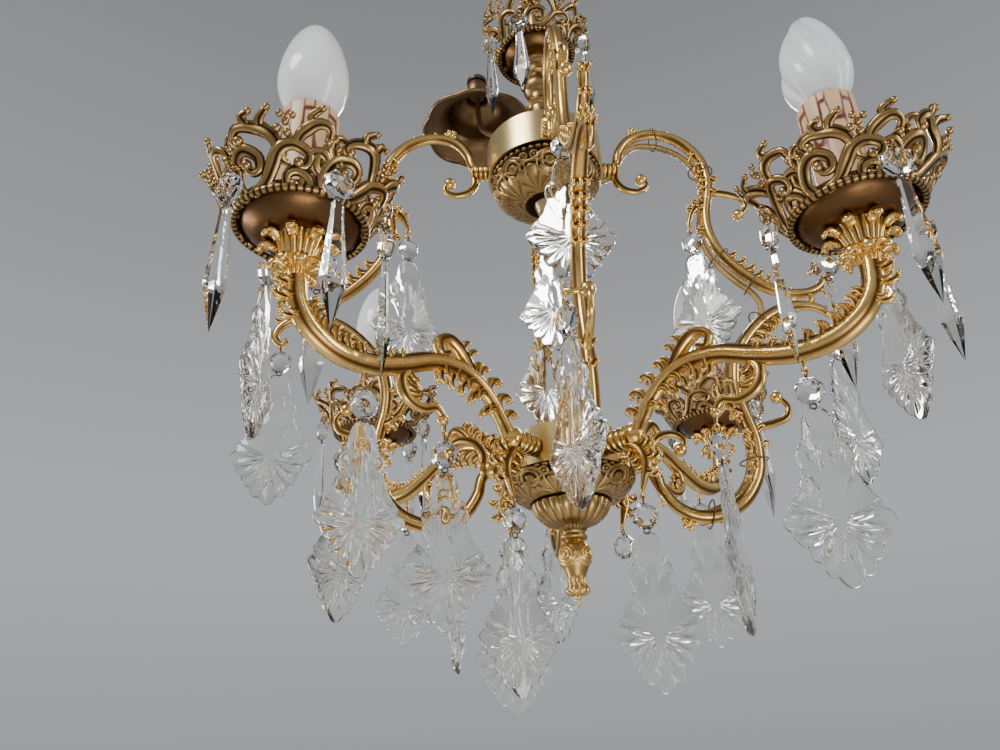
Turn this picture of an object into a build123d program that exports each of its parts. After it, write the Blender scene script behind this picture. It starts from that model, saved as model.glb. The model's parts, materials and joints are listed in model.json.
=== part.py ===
from build123d import *
from math import atan2, cos, degrees, hypot, radians, sin, sqrt, tan
import os

# A brass cage chandelier with four candle arms, hung with cut-glass pendants.
# Millimetres, +Z up. The origin is the centre of the hanging loop's bore.
# Heights of the cage are given above or below its middle plane, and level() turns
# them into heights in the part's frame.

# ---------------------------------------------------------------- driving dimensions
cage_drop = 300.0            # hanging loop's bore down to the cage's middle plane
rib_level = 106.0            # rib ferrules above and below the middle plane
rib_radius = 3.8             # half thickness of a rib casting
scroll_radius = 2.6          # half thickness of its small scrolls
arm_radius = 4.8             # half thickness of a candle arm
arm_level = -100.0           # candle arm roots
candle_radius = 181.0        # chandelier axis to candle axis

loop_bore = 7.0              # radius of the hanging loop's bore
loop_wall = 6.0              # ring width around the bore
loop_thickness = 7.0
loop_rounding = 1.0
stem_radius = 5.0            # threaded stem tube
stem_bore = 3.6
fit_gap = 0.05               # radial clearance of parts that are screwed or pushed together
air_gap = 0.3                # least space between pieces that only pass each other

upper_hub_radius = 39.0
upper_hub_height = 25.0
lower_hub_radius = 28.5
lower_hub_height = 25.0
hub_wall = 1.5
stud_radius = 2.0
stud_length = 7.0            # stud inside the hub wall
nut_size = 7.0               # across flats
nut_height = 3.0

crown_level = 208.0          # underside of the crown dish
crown_dish_radius = 26.0
pan_level = -37.0            # underside of a drip-pan dish
pan_dish_radius = 28.0
sheet = 1.0                  # thickness of dishes and of the canopy

sleeve_radius = 13.5
sleeve_wall = 1.2
sleeve_height = 68.0
bulb_cap_radius = 7.0        # small screw cap
bulb_radius = 17.5
bulb_above_sleeve = 62.0

canopy_radius = 44.0
canopy_place = (-44.0, 50.0)
canopy_level = 190.0

flex_radius = 2.1
lead_radius = 2.2

eye_radius = 2.0             # pierced eye that a pendant hangs from
eye_hole = 0.8
eye_thickness = 1.4
ring_radius = 1.6            # wire ring of a pendant
wire_radius = 0.3
bead_radius = 6.6
bead_thickness = 8.0
pin_length = 2.0             # wire between a bead and its glass
plate_length = 79.0          # large flat pendalogue
plate_width = 47.0
plate_thickness = 7.0
spear_length = 60.0          # small spear prism
spear_width = 13.0
spear_thickness = 8.0

os.makedirs("parts", exist_ok=True)


def level(height):
    """Height above the cage's middle plane, in the part's frame."""
    return height - cage_drop


def save(part, name):
    part.label = name
    export_step(part, f"parts/{name}.step")


def turned(part, azimuth):
    """A copy of a part that lies along +X, turned about the stem to an azimuth."""
    return part.rotate(Axis.Z, azimuth)


def corner_radii(points):
    """For each inner corner of a route, the largest arc that its two runs allow."""
    radii = []
    for before, corner, after in zip(points, points[1:], points[2:]):
        run_in = Vector(*corner) - Vector(*before)
        run_out = Vector(*after) - Vector(*corner)
        turn = radians(run_in.get_angle(run_out))
        radii.append(0.45 * min(run_in.length, run_out.length) / tan(turn / 2))
    return radii


def route(points):
    """Straight runs joined by tangent arcs."""
    return FilletPolyline(*points, radius=corner_radii(points))


def in_rib_plane(outline, side=0.0):
    """Points of radius and cage height, as points in space along +X."""
    return [(radius, side, level(height)) for radius, height in outline]


def rod(outline, radius, side=0.0):
    """A round rod along a route in the plane of a rib or an arm."""
    points = in_rib_plane(outline, side)
    with BuildPart() as swept:
        with BuildLine() as path:
            route(points)
        with BuildSketch(Plane(origin=path.line @ 0, z_dir=path.line % 0)):
            Circle(radius)
        sweep(path=path.line)
    return swept.part


def turned_profile(points):
    """A body of revolution about the stem from points of radius and cage height."""
    with BuildPart() as body:
        with BuildSketch(Plane.XZ):
            with BuildLine():
                Polyline(*[(radius, level(height)) for radius, height in points], close=True)
            make_face()
        revolve(axis=Axis.Z)
    return body.part


def eye_on(radius, height):
    """A pierced eye in the plane of its casting, with a short neck above it."""
    with BuildPart() as eye:
        with BuildSketch(Plane.XZ.offset(-eye_thickness / 2)):
            with Locations((radius, level(height))):
                Circle(eye_radius)
                Rectangle(2 * eye_radius - 1, 3 * eye_radius, align=(Align.CENTER, Align.MIN))
                Circle(eye_hole, mode=Mode.SUBTRACT)
        extrude(amount=eye_thickness)
    return eye.part


# ---------------------------------------------------------------- stem, loop and crown
loop_neck = 16.0
with BuildPart() as hanging_loop:
    with BuildSketch(Plane.XZ.offset(-loop_thickness / 2)):
        Circle(loop_bore + loop_wall)
        Circle(loop_bore, mode=Mode.SUBTRACT)
    extrude(amount=loop_thickness)
    fillet(hanging_loop.edges().filter_by(GeomType.CIRCLE), loop_rounding)
    with BuildSketch(Plane.XY.offset(-loop_bore - loop_wall / 2)):
        Circle(stem_radius + 2)
    extrude(amount=-loop_neck)
    with BuildSketch(Plane.XY.offset(-loop_bore - loop_wall / 2 - loop_neck)):
        Circle(stem_radius + fit_gap)
    extrude(amount=loop_neck - 4, mode=Mode.SUBTRACT)
save(hanging_loop.part, "hanging_loop")

stem_top = -loop_bore - loop_wall / 2 - 5
dome_depth = 22.0
upper_rim = rib_level - 6.0                    # lower edge of the upper cup
upper_top = upper_rim + upper_hub_height
dome_nut_height = 7.0
stem_foot = upper_rim - dome_depth - dome_nut_height + 2
with BuildPart() as stem_tube:
    with BuildSketch(Plane.XY.offset(stem_top)):
        Circle(stem_radius)
        Circle(stem_bore, mode=Mode.SUBTRACT)
    extrude(amount=level(stem_foot) - stem_top)
save(stem_tube.part, "stem_tube")

bore = stem_radius + fit_gap
baluster_foot = upper_top + fit_gap
baluster_top = crown_level - fit_gap
baluster = [
    (bore, baluster_foot), (11.0, baluster_foot), (11.0, baluster_foot + 3), (8.5, baluster_foot + 6),
    (7.6, baluster_foot + 38), (8.6, baluster_foot + 40), (8.6, baluster_foot + 43),
    (7.2, baluster_foot + 44), (7.2, baluster_foot + 52), (8.4, baluster_foot + 53),
    (8.4, baluster_foot + 56), (7.0, baluster_foot + 57), (9.4, baluster_foot + 61),
    (10.2, baluster_foot + 66), (9.4, baluster_foot + 71), (11.6, baluster_foot + 73),
    (11.6, baluster_top), (bore, baluster_top),
]
save(turned_profile(baluster), "stem_baluster")


def dish(radius, foot, hole, flat):
    """A shallow turned dish with a centre hole and a flat middle."""
    bend = flat + (radius - flat) * 0.72
    return turned_profile([
        (hole, foot), (flat, foot), (bend, foot + 3), (radius, foot + 8),
        (radius, foot + 8 + sheet), (radius - sheet, foot + 8 + sheet),
        (bend - sheet, foot + 3 + sheet), (flat, foot + sheet), (hole, foot + sheet),
    ])


# The galleries are solid half way between two windows, and the eyes stand there.
crown_windows = 8
crown_prism_azimuths = [67.5, 202.5, 247.5, 337.5]
pan_windows = 10
prism_azimuths = {45: [18, 126, 306], 135: [54, 198, 342], 225: [18, 90, 234, 306], 315: [18, 90, 162, 270]}
plate_azimuths = {45: [], 135: [], 225: [126], 315: [54]}
gallery_foot_gap = 0.1
gallery_height = 27.0
gallery_thickness = 2.4
gallery_flare = 14.0
gallery_waist = gallery_foot_gap + gallery_flare * 0.75 + 0.4
crown_eye = (crown_dish_radius + gallery_waist, crown_level + 14.0)


def gallery(foot_radius, foot, windows):
    """A flared openwork ring: a band pierced all round, with bosses on its upper edge."""
    top_radius = foot_radius + gallery_flare
    top = foot + gallery_height
    with BuildPart() as ring:
        with BuildSketch(Plane.XZ):
            with BuildLine():
                Polyline(
                    (foot_radius, level(foot)),
                    (foot_radius + gallery_thickness, level(foot)),
                    (foot_radius + gallery_flare * 0.75, level(foot + gallery_height * 0.5)),
                    (top_radius, level(top)),
                    (top_radius - gallery_thickness, level(top)),
                    (foot_radius + gallery_flare * 0.75 - gallery_thickness,
                     level(foot + gallery_height * 0.5)),
                    close=True,
                )
            make_face()
        revolve(axis=Axis.Z)
        for turn in range(windows):
            azimuth = 360 / windows * turn
            facing = Plane(
                origin=(0, 0, level(foot + gallery_height * 0.5)),
                x_dir=(-sin(radians(azimuth)), cos(radians(azimuth)), 0),
                z_dir=(cos(radians(azimuth)), sin(radians(azimuth)), 0),
            )
            with BuildSketch(facing):
                Ellipse(top_radius * 2.0 / windows, gallery_height * 0.3)
            extrude(amount=2 * top_radius, mode=Mode.SUBTRACT)
    return ring.part


save(dish(crown_dish_radius, crown_level, bore, 13.0), "crown_dish")
with BuildPart() as crown_gallery:
    add(gallery(crown_dish_radius + gallery_foot_gap, crown_level + 5, crown_windows))
    for azimuth in crown_prism_azimuths:
        add(turned(eye_on(*crown_eye), azimuth))
save(crown_gallery.part, "crown_gallery")

# ---------------------------------------------------------------- upper hub
rib_azimuths = [0, 90, 180, 270]
arm_azimuths = [45, 135, 225, 315]


def hub_cup(radius, rim, height, stud_heights):
    """A plain cup, open below, with a stem hole and a hole for each stud."""
    with BuildPart() as cup:
        with BuildSketch(Plane.XY.offset(level(rim))):
            Circle(radius)
        extrude(amount=height)
        with BuildSketch(Plane.XY.offset(level(rim))):
            Circle(radius - hub_wall)
        extrude(amount=height - hub_wall, mode=Mode.SUBTRACT)
        with BuildSketch(Plane.XY.offset(level(rim))):
            Circle(bore)
        extrude(amount=height, mode=Mode.SUBTRACT)
        for azimuth, stud_height in stud_heights:
            outward = (cos(radians(azimuth)), sin(radians(azimuth)), 0)
            with BuildSketch(Plane(origin=(0, 0, level(stud_height)), z_dir=outward)):
                Circle(stud_radius + fit_gap)
            extrude(amount=radius + 1, mode=Mode.SUBTRACT)
    return cup.part


upper_hub_cup = hub_cup(
    upper_hub_radius, upper_rim, upper_hub_height, [(azimuth, rib_level) for azimuth in rib_azimuths]
)
save(upper_hub_cup, "upper_hub_cup")


def dome(rim_radius, rim, foot_radius, depth):
    """A cast dome under a hub cup: a thin shell with a moulded rim."""
    return turned_profile([
        (rim_radius, rim), (rim_radius, rim - 3), (rim_radius * 0.93, rim - depth * 0.35),
        (rim_radius * 0.72, rim - depth * 0.75), (foot_radius, rim - depth),
        (bore, rim - depth), (bore, rim - depth + 2.5), (foot_radius - 1, rim - depth + 2.5),
        (rim_radius * 0.72 - 2.5, rim - depth * 0.75 + 2), (rim_radius * 0.93 - 3, rim - depth * 0.35 + 1),
        (rim_radius - 4, rim),
    ])


upper_hub_dome = dome(upper_hub_radius - 1.5, upper_rim - fit_gap, 14.0, dome_depth)
save(upper_hub_dome, "upper_hub_dome")

dome_nut_top = upper_rim - dome_depth - 2 * fit_gap
dome_hook = dome_nut_top - dome_nut_height - 4.0
with BuildPart() as dome_nut:
    with BuildSketch(Plane.XY.offset(level(dome_nut_top))):
        Circle(9.0)
    extrude(amount=-dome_nut_height, taper=20)
    with BuildSketch(Plane.XY.offset(level(dome_nut_top))):
        Circle(bore)
    extrude(amount=-(dome_nut_top - stem_foot + fit_gap), mode=Mode.SUBTRACT)
    add(eye_on(0, dome_hook))
save(dome_nut.part, "dome_nut")

# ---------------------------------------------------------------- ribs of the cage
rib_outline = [
    (47, 106), (49, 122), (60, 136), (79, 137), (98, 128), (109, 111), (111, 90), (106, 70),
    (103, 54), (108, 38), (120, 22), (136, 9), (151, 4.2), (165, 6), (173, 14), (168, 21),
]
ferrule_end = 50.0
root_scroll = [(48, 106), (49, 94), (58, 88), (68, 91), (66, 99)]
root_ball = (64, 98)
outer_scroll = [(110, 86), (119, 83), (130, 80), (133, 71), (127, 66)]
outer_ball = (126, 66)
inner_hook = [(107, 74), (100, 71), (95, 66), (93, 60)]
root_ball_radius = 4.4
outer_ball_radius = 4.0
rivet_radius = 1.2
rivet_at = 151.0
rib_eye = (92.5, 55.0)       # eye on the inner hook of each upper casting
tip_eye = (168.0, -24.0)     # eye under the outer end of each lower casting
ball_eye = (127.0, -88.0)    # eye under the outer scroll of each lower casting
low_eye = (127.4, -72.0)     # eye beside the outer scroll of the front lower casting
low_turn = -4.7              # degrees that it sits to one side of the casting's plane


def ferrule(start, end, height, radius):
    """A ringed ferrule along +X, with its stud reaching into the hub."""
    rings = 3
    pitch = (end - start) / rings
    with BuildPart() as part:
        with BuildSketch(Plane.YZ.offset(start - stud_length)):
            with Locations((0, level(height))):
                Circle(stud_radius)
        extrude(amount=stud_length)
        with BuildSketch(Plane.YZ.offset(start)):
            with Locations((0, level(height))):
                Circle(radius - 0.8)
        extrude(amount=end - start)
        for ring in range(rings):
            with BuildSketch(Plane.YZ.offset(start + pitch * (ring + 0.2))):
                with Locations((0, level(height))):
                    Circle(radius)
            extrude(amount=pitch * 0.6)
    return part.part


def ball(place, radius):
    with BuildPart() as sphere:
        with Locations((place[0], 0, level(place[1]))):
            Sphere(radius)
    return sphere.part


def rib_casting(hub_radius):
    """One S-scroll casting above the middle plane, from its hub to the outer end."""
    with BuildPart() as casting:
        add(rod(rib_outline, rib_radius))
        add(ferrule(hub_radius + fit_gap, ferrule_end, rib_level, 5.0))
        add(rod(root_scroll, scroll_radius))
        add(ball(root_ball, root_ball_radius))
        add(rod(outer_scroll, scroll_radius))
        add(ball(outer_ball, outer_ball_radius))
        add(rod(inner_hook, scroll_radius - 0.4))
        with BuildSketch(Plane.XY.offset(level(0))):
            with Locations((rivet_at, 0)):
                Circle(rivet_radius + fit_gap)
        extrude(amount=12, mode=Mode.SUBTRACT)
    return casting.part


def below(part):
    """The mirror image of a casting in the cage's middle plane."""
    return part.mirror(Plane.XY.offset(level(0)))


upper_casting = rib_casting(upper_hub_radius)
lower_casting = below(rib_casting(lower_hub_radius))
rib_names = {0: "right", 90: "back", 180: "left", 270: "front"}
tip_eyes = [0, 180]
ball_eyes = [90, 180]
for azimuth, name in rib_names.items():
    with BuildPart() as upper_rib:
        add(upper_casting)
        add(eye_on(*rib_eye))
    with BuildPart() as lower_rib:
        add(lower_casting)
        if azimuth in tip_eyes:
            add(eye_on(*tip_eye))
        if azimuth in ball_eyes:
            add(eye_on(*ball_eye))
        if azimuth == 270:
            add(turned(eye_on(*low_eye), low_turn))
            side_bar = Cylinder(1.5, 11.0, mode=Mode.PRIVATE).rotate(Axis.X, 90)
            add(side_bar.moved(Location((126.6, -5.2, level(-67.3)))))
    rib = Compound(children=[turned(upper_rib.part, azimuth), turned(lower_rib.part, azimuth)])
    save(rib, f"rib_{name}")

rivet_reach = rib_radius * 2 + 1.0
with BuildPart() as rib_rivet:
    with BuildSketch(Plane.XY.offset(level(-rivet_reach - fit_gap))):
        with Locations((rivet_at, 0)):
            Circle(rivet_radius)
    extrude(amount=2 * (rivet_reach + fit_gap))
rivets = Compound(children=[turned(rib_rivet.part, azimuth) for azimuth in rib_azimuths])
save(rivets, "rib_rivets")

# ---------------------------------------------------------------- candle arms
arm_outline = [
    (47, -100), (54, -90), (64, -78), (80, -71), (100, -72), (118, -80), (138, -87), (158, -87),
    (174, -79), (candle_radius, -66), (candle_radius, -52),
]
arm_scroll = [(115, -80), (120, -89), (113, -98), (102, -97), (95, -102)]
arm_scroll_ball = (95, -102)
arm_cup_foot = -56.0
arm_nipple_radius = 5.0
outer_hook = (142, -97)
inner_eye = (94, -110)
root_eye = (47, -134)
arm_cup_height = pan_level - fit_gap - arm_cup_foot
nipple_top = pan_level + 14

with BuildPart() as candle_arm:
    add(rod(arm_outline, arm_radius))
    add(ferrule(lower_hub_radius + fit_gap, 42, arm_level, 6.0))
    add(ball((46, arm_level), 7.5))
    add(rod([(47, -104), (52, -113), (49, -122), (47, -130)], scroll_radius))
    add(rod(arm_scroll, scroll_radius + 0.4))
    add(ball(arm_scroll_ball, 3.6))
    add(eye_on(*outer_hook))
    add(eye_on(*inner_eye))
    add(eye_on(*root_eye))
    with BuildSketch(Plane.XY.offset(level(arm_cup_foot))):
        with Locations((candle_radius, 0)):
            Circle(arm_radius + 1.5)
    extrude(amount=arm_cup_height, taper=-22)
    with BuildSketch(Plane.XY.offset(level(arm_cup_foot))):
        with Locations((candle_radius, 0)):
            Circle(arm_nipple_radius)
    extrude(amount=nipple_top - arm_cup_foot)
for number, azimuth in enumerate(arm_azimuths, start=1):
    save(turned(candle_arm.part, azimuth), f"candle_arm_{number}")

# ---------------------------------------------------------------- lower hub
lower_rim = -113.0
lower_studs = [(azimuth, -rib_level) for azimuth in rib_azimuths]
lower_studs += [(azimuth, arm_level) for azimuth in arm_azimuths]
save(hub_cup(lower_hub_radius, lower_rim, lower_hub_height, lower_studs), "lower_hub_cup")

lower_dome_radius = 37.0
lower_dome_depth = 14.0
lower_dome_foot = 19.0
save(dome(lower_dome_radius, lower_rim - fit_gap, lower_dome_foot, lower_dome_depth), "lower_hub_dome")

cap_top = lower_rim - lower_dome_depth - 2 * fit_gap
cap_radius = 20.5
cap_height = 16.0
with BuildPart() as gadroon_cap:
    with BuildSketch(Plane.XZ):
        with BuildLine():
            Line((bore, level(cap_top)), (cap_radius, level(cap_top)))
            RadiusArc((cap_radius, level(cap_top)), (7.5, level(cap_top - cap_height)), 17)
            Line((7.5, level(cap_top - cap_height)), (bore, level(cap_top - cap_height)))
            Line((bore, level(cap_top - cap_height)), (bore, level(cap_top)))
        make_face()
    revolve(axis=Axis.Z)
save(gadroon_cap.part, "lower_hub_cap")

finial_top = cap_top - cap_height - fit_gap
finial_length = 37.0
tie_depth = 16.0
with BuildPart() as finial:
    with BuildSketch(Plane.XZ):
        with BuildLine():
            Polyline(
                (0, level(finial_top)), (7.0, level(finial_top)), (6.0, level(finial_top - 4)),
                (9.0, level(finial_top - 9)), (9.0, level(finial_top - 15)), (5.0, level(finial_top - 22)),
                (5.8, level(finial_top - 27)), (3.0, level(finial_top - 31)),
                (2.4, level(finial_top - finial_length + 4)), (0, level(finial_top - finial_length + 4)),
                close=True,
            )
        make_face()
    revolve(axis=Axis.Z)
    with BuildSketch(Plane.XY.offset(level(finial_top))):
        Circle(bore)
    extrude(amount=-tie_depth, mode=Mode.SUBTRACT)
    add(eye_on(0, finial_top - finial_length).rotate(Axis.Z, 90))
save(finial.part, "finial")

lower_top = lower_rim + lower_hub_height
tie_head = 5.0
with BuildPart() as tie_rod:
    with BuildSketch(Plane.XY.offset(level(lower_top + fit_gap))):
        RegularPolygon(radius=8.5, side_count=6)
    extrude(amount=tie_head)
    with BuildSketch(Plane.XY.offset(level(lower_top + fit_gap))):
        Circle(stem_radius)
    extrude(amount=-(lower_top - finial_top + tie_depth - 2))
save(tie_rod.part, "tie_rod")


def root_nut(hub_radius, height):
    """A hexagon nut on a stud, against the inside of its hub wall."""
    inside = sqrt((hub_radius - hub_wall) ** 2 - (nut_size / 2 + 0.6) ** 2)
    with BuildPart() as nut:
        with BuildSketch(Plane.YZ.offset(inside - nut_height - fit_gap)):
            with Locations((0, level(height))):
                RegularPolygon(radius=nut_size / 2, side_count=6, major_radius=False)
                Circle(stud_radius + fit_gap, mode=Mode.SUBTRACT)
        extrude(amount=nut_height)
    return nut.part


nuts = [turned(root_nut(upper_hub_radius, rib_level), azimuth) for azimuth in rib_azimuths]
nuts += [turned(root_nut(lower_hub_radius, -rib_level), azimuth) for azimuth in rib_azimuths]
nuts += [turned(root_nut(lower_hub_radius, arm_level), azimuth) for azimuth in arm_azimuths]
save(Compound(children=nuts), "root_nuts")

# ---------------------------------------------------------------- candles
dishes = []
galleries = []
lampholders = []
sleeves = []
holder_radius = sleeve_radius - sleeve_wall - 0.2
flange_radius = holder_radius + 1.0
dish_at_stem = dish(pan_dish_radius, pan_level, arm_nipple_radius + fit_gap, flange_radius + 0.4)
gallery_at_stem = gallery(pan_dish_radius + gallery_foot_gap, pan_level + 5, pan_windows)
pan_eye = (pan_dish_radius + gallery_waist, pan_level + 14.0)

holder_foot = pan_level + sheet + fit_gap
holder_height = sleeve_height - 4
sleeve_foot = holder_foot + 2.0
socket_depth = 24.0
holder_top = holder_foot + holder_height
with BuildPart() as holder:
    with BuildSketch(Plane.XY.offset(level(holder_foot))):
        Circle(flange_radius)
        Circle(arm_nipple_radius + fit_gap, mode=Mode.SUBTRACT)
    extrude(amount=1.6)
    with BuildSketch(Plane.XY.offset(level(holder_foot))):
        Circle(holder_radius)
        Circle(arm_nipple_radius + fit_gap, mode=Mode.SUBTRACT)
    extrude(amount=holder_height)
    with BuildSketch(Plane.XY.offset(level(holder_top))):
        Circle(bulb_cap_radius + air_gap)
    extrude(amount=-socket_depth, mode=Mode.SUBTRACT)

sleeve_top = sleeve_foot + sleeve_height
with BuildPart() as sleeve:
    with BuildSketch(Plane.XY.offset(level(sleeve_foot))):
        Circle(sleeve_radius)
        Circle(sleeve_radius - sleeve_wall, mode=Mode.SUBTRACT)
    extrude(amount=sleeve_height)

cap_foot = holder_top - socket_depth + 2
cap_end = holder_top + 2.0
bulb_tip = sleeve_top + bulb_above_sleeve
with BuildPart() as bulb:
    with BuildSketch(Plane.XZ):
        with BuildLine():
            Polyline(
                (0, level(bulb_tip)), (0, level(cap_foot)), (4.0, level(cap_foot)),
                (bulb_cap_radius, level(cap_foot + 3)), (bulb_cap_radius, level(cap_end)),
                (9.0, level(cap_end + 1)),
            )
            Spline(
                (9.0, level(cap_end + 1)), (bulb_radius, level(sleeve_top + 22)),
                (10.5, level(bulb_tip - 13)), (0, level(bulb_tip)),
                tangents=((0.5, 1), (-1, 0.12)),
            )
        make_face()
    revolve(axis=Axis.Z)

for number, azimuth in enumerate(arm_azimuths, start=1):
    across = Location((candle_radius * cos(radians(azimuth)), candle_radius * sin(radians(azimuth)), 0))
    dishes.append(dish_at_stem.moved(across))
    with BuildPart() as pan_gallery:
        add(gallery_at_stem)
        for eye_azimuth in prism_azimuths[azimuth] + plate_azimuths[azimuth]:
            add(turned(eye_on(*pan_eye), eye_azimuth))
    galleries.append(pan_gallery.part.moved(across))
    lampholders.append(holder.part.moved(across))
    sleeves.append(sleeve.part.moved(across))
    save(bulb.part.moved(across), f"bulb_{number}")
save(Compound(children=dishes), "drip_dishes")
save(Compound(children=galleries), "pan_galleries")
save(Compound(children=lampholders), "lampholders")
save(Compound(children=sleeves), "candle_sleeves")

# ---------------------------------------------------------------- canopy and leads
canopy_height = 50.0
canopy_neck = 6.0
with BuildPart() as canopy_at_stem:
    with BuildSketch(Plane.XZ):
        with BuildLine():
            Polyline(
                (canopy_radius, level(canopy_level)), (canopy_radius - 7, level(canopy_level + 5)),
                (24, level(canopy_level + 11)), (21, level(canopy_level + 28)),
                (12, level(canopy_level + 44)), (canopy_neck, level(canopy_level + canopy_height)),
                (canopy_neck, level(canopy_level + canopy_height) - 1.6), (11, level(canopy_level + 43) - 0.8),
                (19.6, level(canopy_level + 27.6)), (22.6, level(canopy_level + 9.8)),
                (canopy_radius - 7.4, level(canopy_level + 3.8)),
                (canopy_radius - 0.6, level(canopy_level) - 0.9),
                close=True,
            )
        make_face()
    revolve(axis=Axis.Z)
canopy = canopy_at_stem.part.moved(Location((canopy_place[0], canopy_place[1], 0)))
save(canopy, "ceiling_canopy")

grip_foot = canopy_level + canopy_height - 14
with BuildPart() as cord_grip:
    with BuildSketch(Plane.XY.offset(level(grip_foot))):
        Circle(canopy_neck - fit_gap)
    extrude(amount=18)
    with BuildSketch(Plane.XY.offset(level(canopy_level + canopy_height + fit_gap))):
        Circle(canopy_neck + 2)
    extrude(amount=3)
save(cord_grip.part.moved(Location((canopy_place[0], canopy_place[1], 0))), "canopy_cord_grip")

lead_points = [
    (-20, 19, upper_top), (-20, 19, upper_top + 16), (-25, 23, upper_top + 34),
    (-36, 38, upper_top + 50), (-44, 50, upper_top + 70), (-44, 50, grip_foot - air_gap),
]
with BuildPart() as supply_lead:
    with BuildLine() as lead_path:
        route([(x, y, level(height)) for x, y, height in lead_points])
    with BuildSketch(Plane(origin=lead_path.line @ 0, z_dir=lead_path.line % 0)):
        Circle(lead_radius)
    sweep(path=lead_path.line)
save(supply_lead.part, "supply_lead")

flex_side = 7.2
flex_upper = [
    (upper_hub_radius, 103), (46, 103), (52, 119), (62, 132.5), (78, 133.5), (96, 125), (106, 110),
    (108, 90), (103, 71), (100, 54), (105, 36.5), (118, 19.5), (128, 11), (133, 0),
]
flex_lower = [(radius, -height) for radius, height in reversed(flex_upper[1:-1])]
flex_outline = flex_upper + flex_lower + [(lower_hub_radius, -103)]
flex_outline_points = in_rib_plane(flex_outline, flex_side)
flex = rod(flex_outline, flex_radius, side=flex_side)
save(flex, "rib_flex")

# ---------------------------------------------------------------- glass

def around(azimuth, radius):
    return (radius * cos(radians(azimuth)), radius * sin(radians(azimuth)))


def octagon_bead(top, radius, thickness):
    """A flat octagon bead standing on edge below a height, facing along Y."""
    with BuildPart() as bead:
        with BuildSketch(Plane.XZ):
            with Locations((0, top - radius)):
                RegularPolygon(radius=radius, side_count=8, major_radius=False, rotation=22.5)
        extrude(amount=thickness / 2, taper=35, both=True)
    return bead.part


def hanging_wire(top, length):
    """A wire ring hung at a height, with a straight pin down from it."""
    with BuildPart() as wire:
        with Locations(Location((0, 0, top - ring_radius), (90, 0, 0))):
            Torus(ring_radius, wire_radius)
        with BuildSketch(Plane.XY.offset(top - 2 * ring_radius)):
            Circle(wire_radius)
        extrude(amount=-length)
    return wire.part


half_plate = [
    (3.0, 0), (5.6, -3), (6.4, -8), (5.2, -13), (7.0, -18), (10.0, -22), (11.0, -28), (14.5, -34),
    (18.5, -39), (22.0, -44), (23.5, -50), (22.0, -56), (18.5, -61), (14.0, -66), (9.5, -70),
    (6.0, -75), (2.0, -79),
]


def glass_plate(top, share=1.0):
    """A flat lobed pendalogue facing along Y, its top edge at a height."""
    across = share * plate_width / 47.0
    down = share * plate_length / 79.0
    right = [(x * across, top + z * down) for x, z in half_plate]
    left = [(-x, z) for x, z in reversed(right)]
    with BuildPart() as plate:
        with BuildSketch(Plane.XZ):
            with BuildLine():
                Polyline(*right, *left, close=True)
            make_face()
        extrude(amount=plate_thickness / 2, both=True)
    return plate.part


def glass_spear(top):
    """A long faceted prism that widens to its shoulder and ends in a point."""
    half = spear_width / 2
    with BuildPart() as spear:
        with BuildSketch(Plane.XZ):
            with BuildLine():
                Polyline(
                    (half * 0.35, top), (half, top - spear_length * 0.72), (half * 0.15, top - spear_length),
                    (-half * 0.15, top - spear_length), (-half, top - spear_length * 0.72),
                    (-half * 0.35, top), close=True,
                )
            make_face()
        extrude(amount=spear_thickness / 2, taper=12, both=True)
    return spear.part


ring_drop = 2 * ring_radius
neck_pin = 0.5
bead_top = -ring_drop - neck_pin
plate_top = bead_top - 2 * bead_radius - pin_length


def link_pin(top):
    """The straight wire between a bead and the glass under it."""
    with BuildPart() as pin:
        with BuildSketch(Plane.XY.offset(top)):
            Circle(wire_radius)
        extrude(amount=-pin_length)
    return pin.part


def pendant_pieces(glass, facing, swing_axis):
    """Wire, bead, pin and glass below the origin. Azimuths: the glass's face, the hinge."""
    ring_turn = swing_axis
    glass_turn = facing + 90
    return [
        hanging_wire(0, neck_pin).rotate(Axis.Z, ring_turn),
        octagon_bead(bead_top, bead_radius, bead_thickness).rotate(Axis.Z, glass_turn),
        link_pin(bead_top - 2 * bead_radius),
        glass.rotate(Axis.Z, glass_turn),
    ]


# name: (azimuth of its casting, radius, cage height of the eye, azimuth the glass faces)
pendants = {
    "arm_outer_front_left": (225, *outer_hook, 300),
    "arm_outer_front_right": (315, *outer_hook, 265),
    "arm_outer_back_right": (45, *outer_hook, 260),
    "arm_outer_back_left": (135, *outer_hook, 270),
    "arm_inner_front_left": (225, *inner_eye, 268),
    "arm_inner_front_right": (315, *inner_eye, 330),
    "arm_inner_back_left": (135, *inner_eye, 350),
    "arm_root_front_left": (225, *root_eye, 300),
    "arm_root_front_right": (315, *root_eye, 265),
    "arm_root_back_left": (135, *root_eye, 260),
    "rib_inner_right": (0, *rib_eye, 225),
    "rib_inner_back": (90, *rib_eye, 260),
    "rib_inner_left": (180, *rib_eye, 300),
    "rib_inner_front": (270, *rib_eye, 275),
    "rib_ball_back": (90, *ball_eye, 315),
    "rib_ball_left": (180, *ball_eye, 330),
    "rib_low_front": (270 + low_turn, *low_eye, 204),
    "rib_tip_right": (0, *tip_eye, 300),
    "rib_tip_left": (180, *tip_eye, 270),
    "hub_dome": (0, 0, dome_hook, 250),
}
# Glass that is smaller than the rest, as a share of the full length and width.
smaller_glass = {
    "arm_outer_front_left": 0.86, "arm_inner_front_left": 0.92, "arm_root_front_left": 0.94,
    "arm_root_front_right": 0.95, "arm_outer_back_left": 0.9, "rib_low_front": 0.95,
}
for name, (azimuth, radius, height, facing) in pendants.items():
    x, y = around(azimuth, radius)
    place = Location((x, y, level(height)))
    glass = glass_plate(plate_top, smaller_glass.get(name, 1.0))
    pieces = pendant_pieces(glass, facing, azimuth + 90)
    save(Compound(children=[piece.moved(place) for piece in pieces]), f"pendant_{name}")


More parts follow.
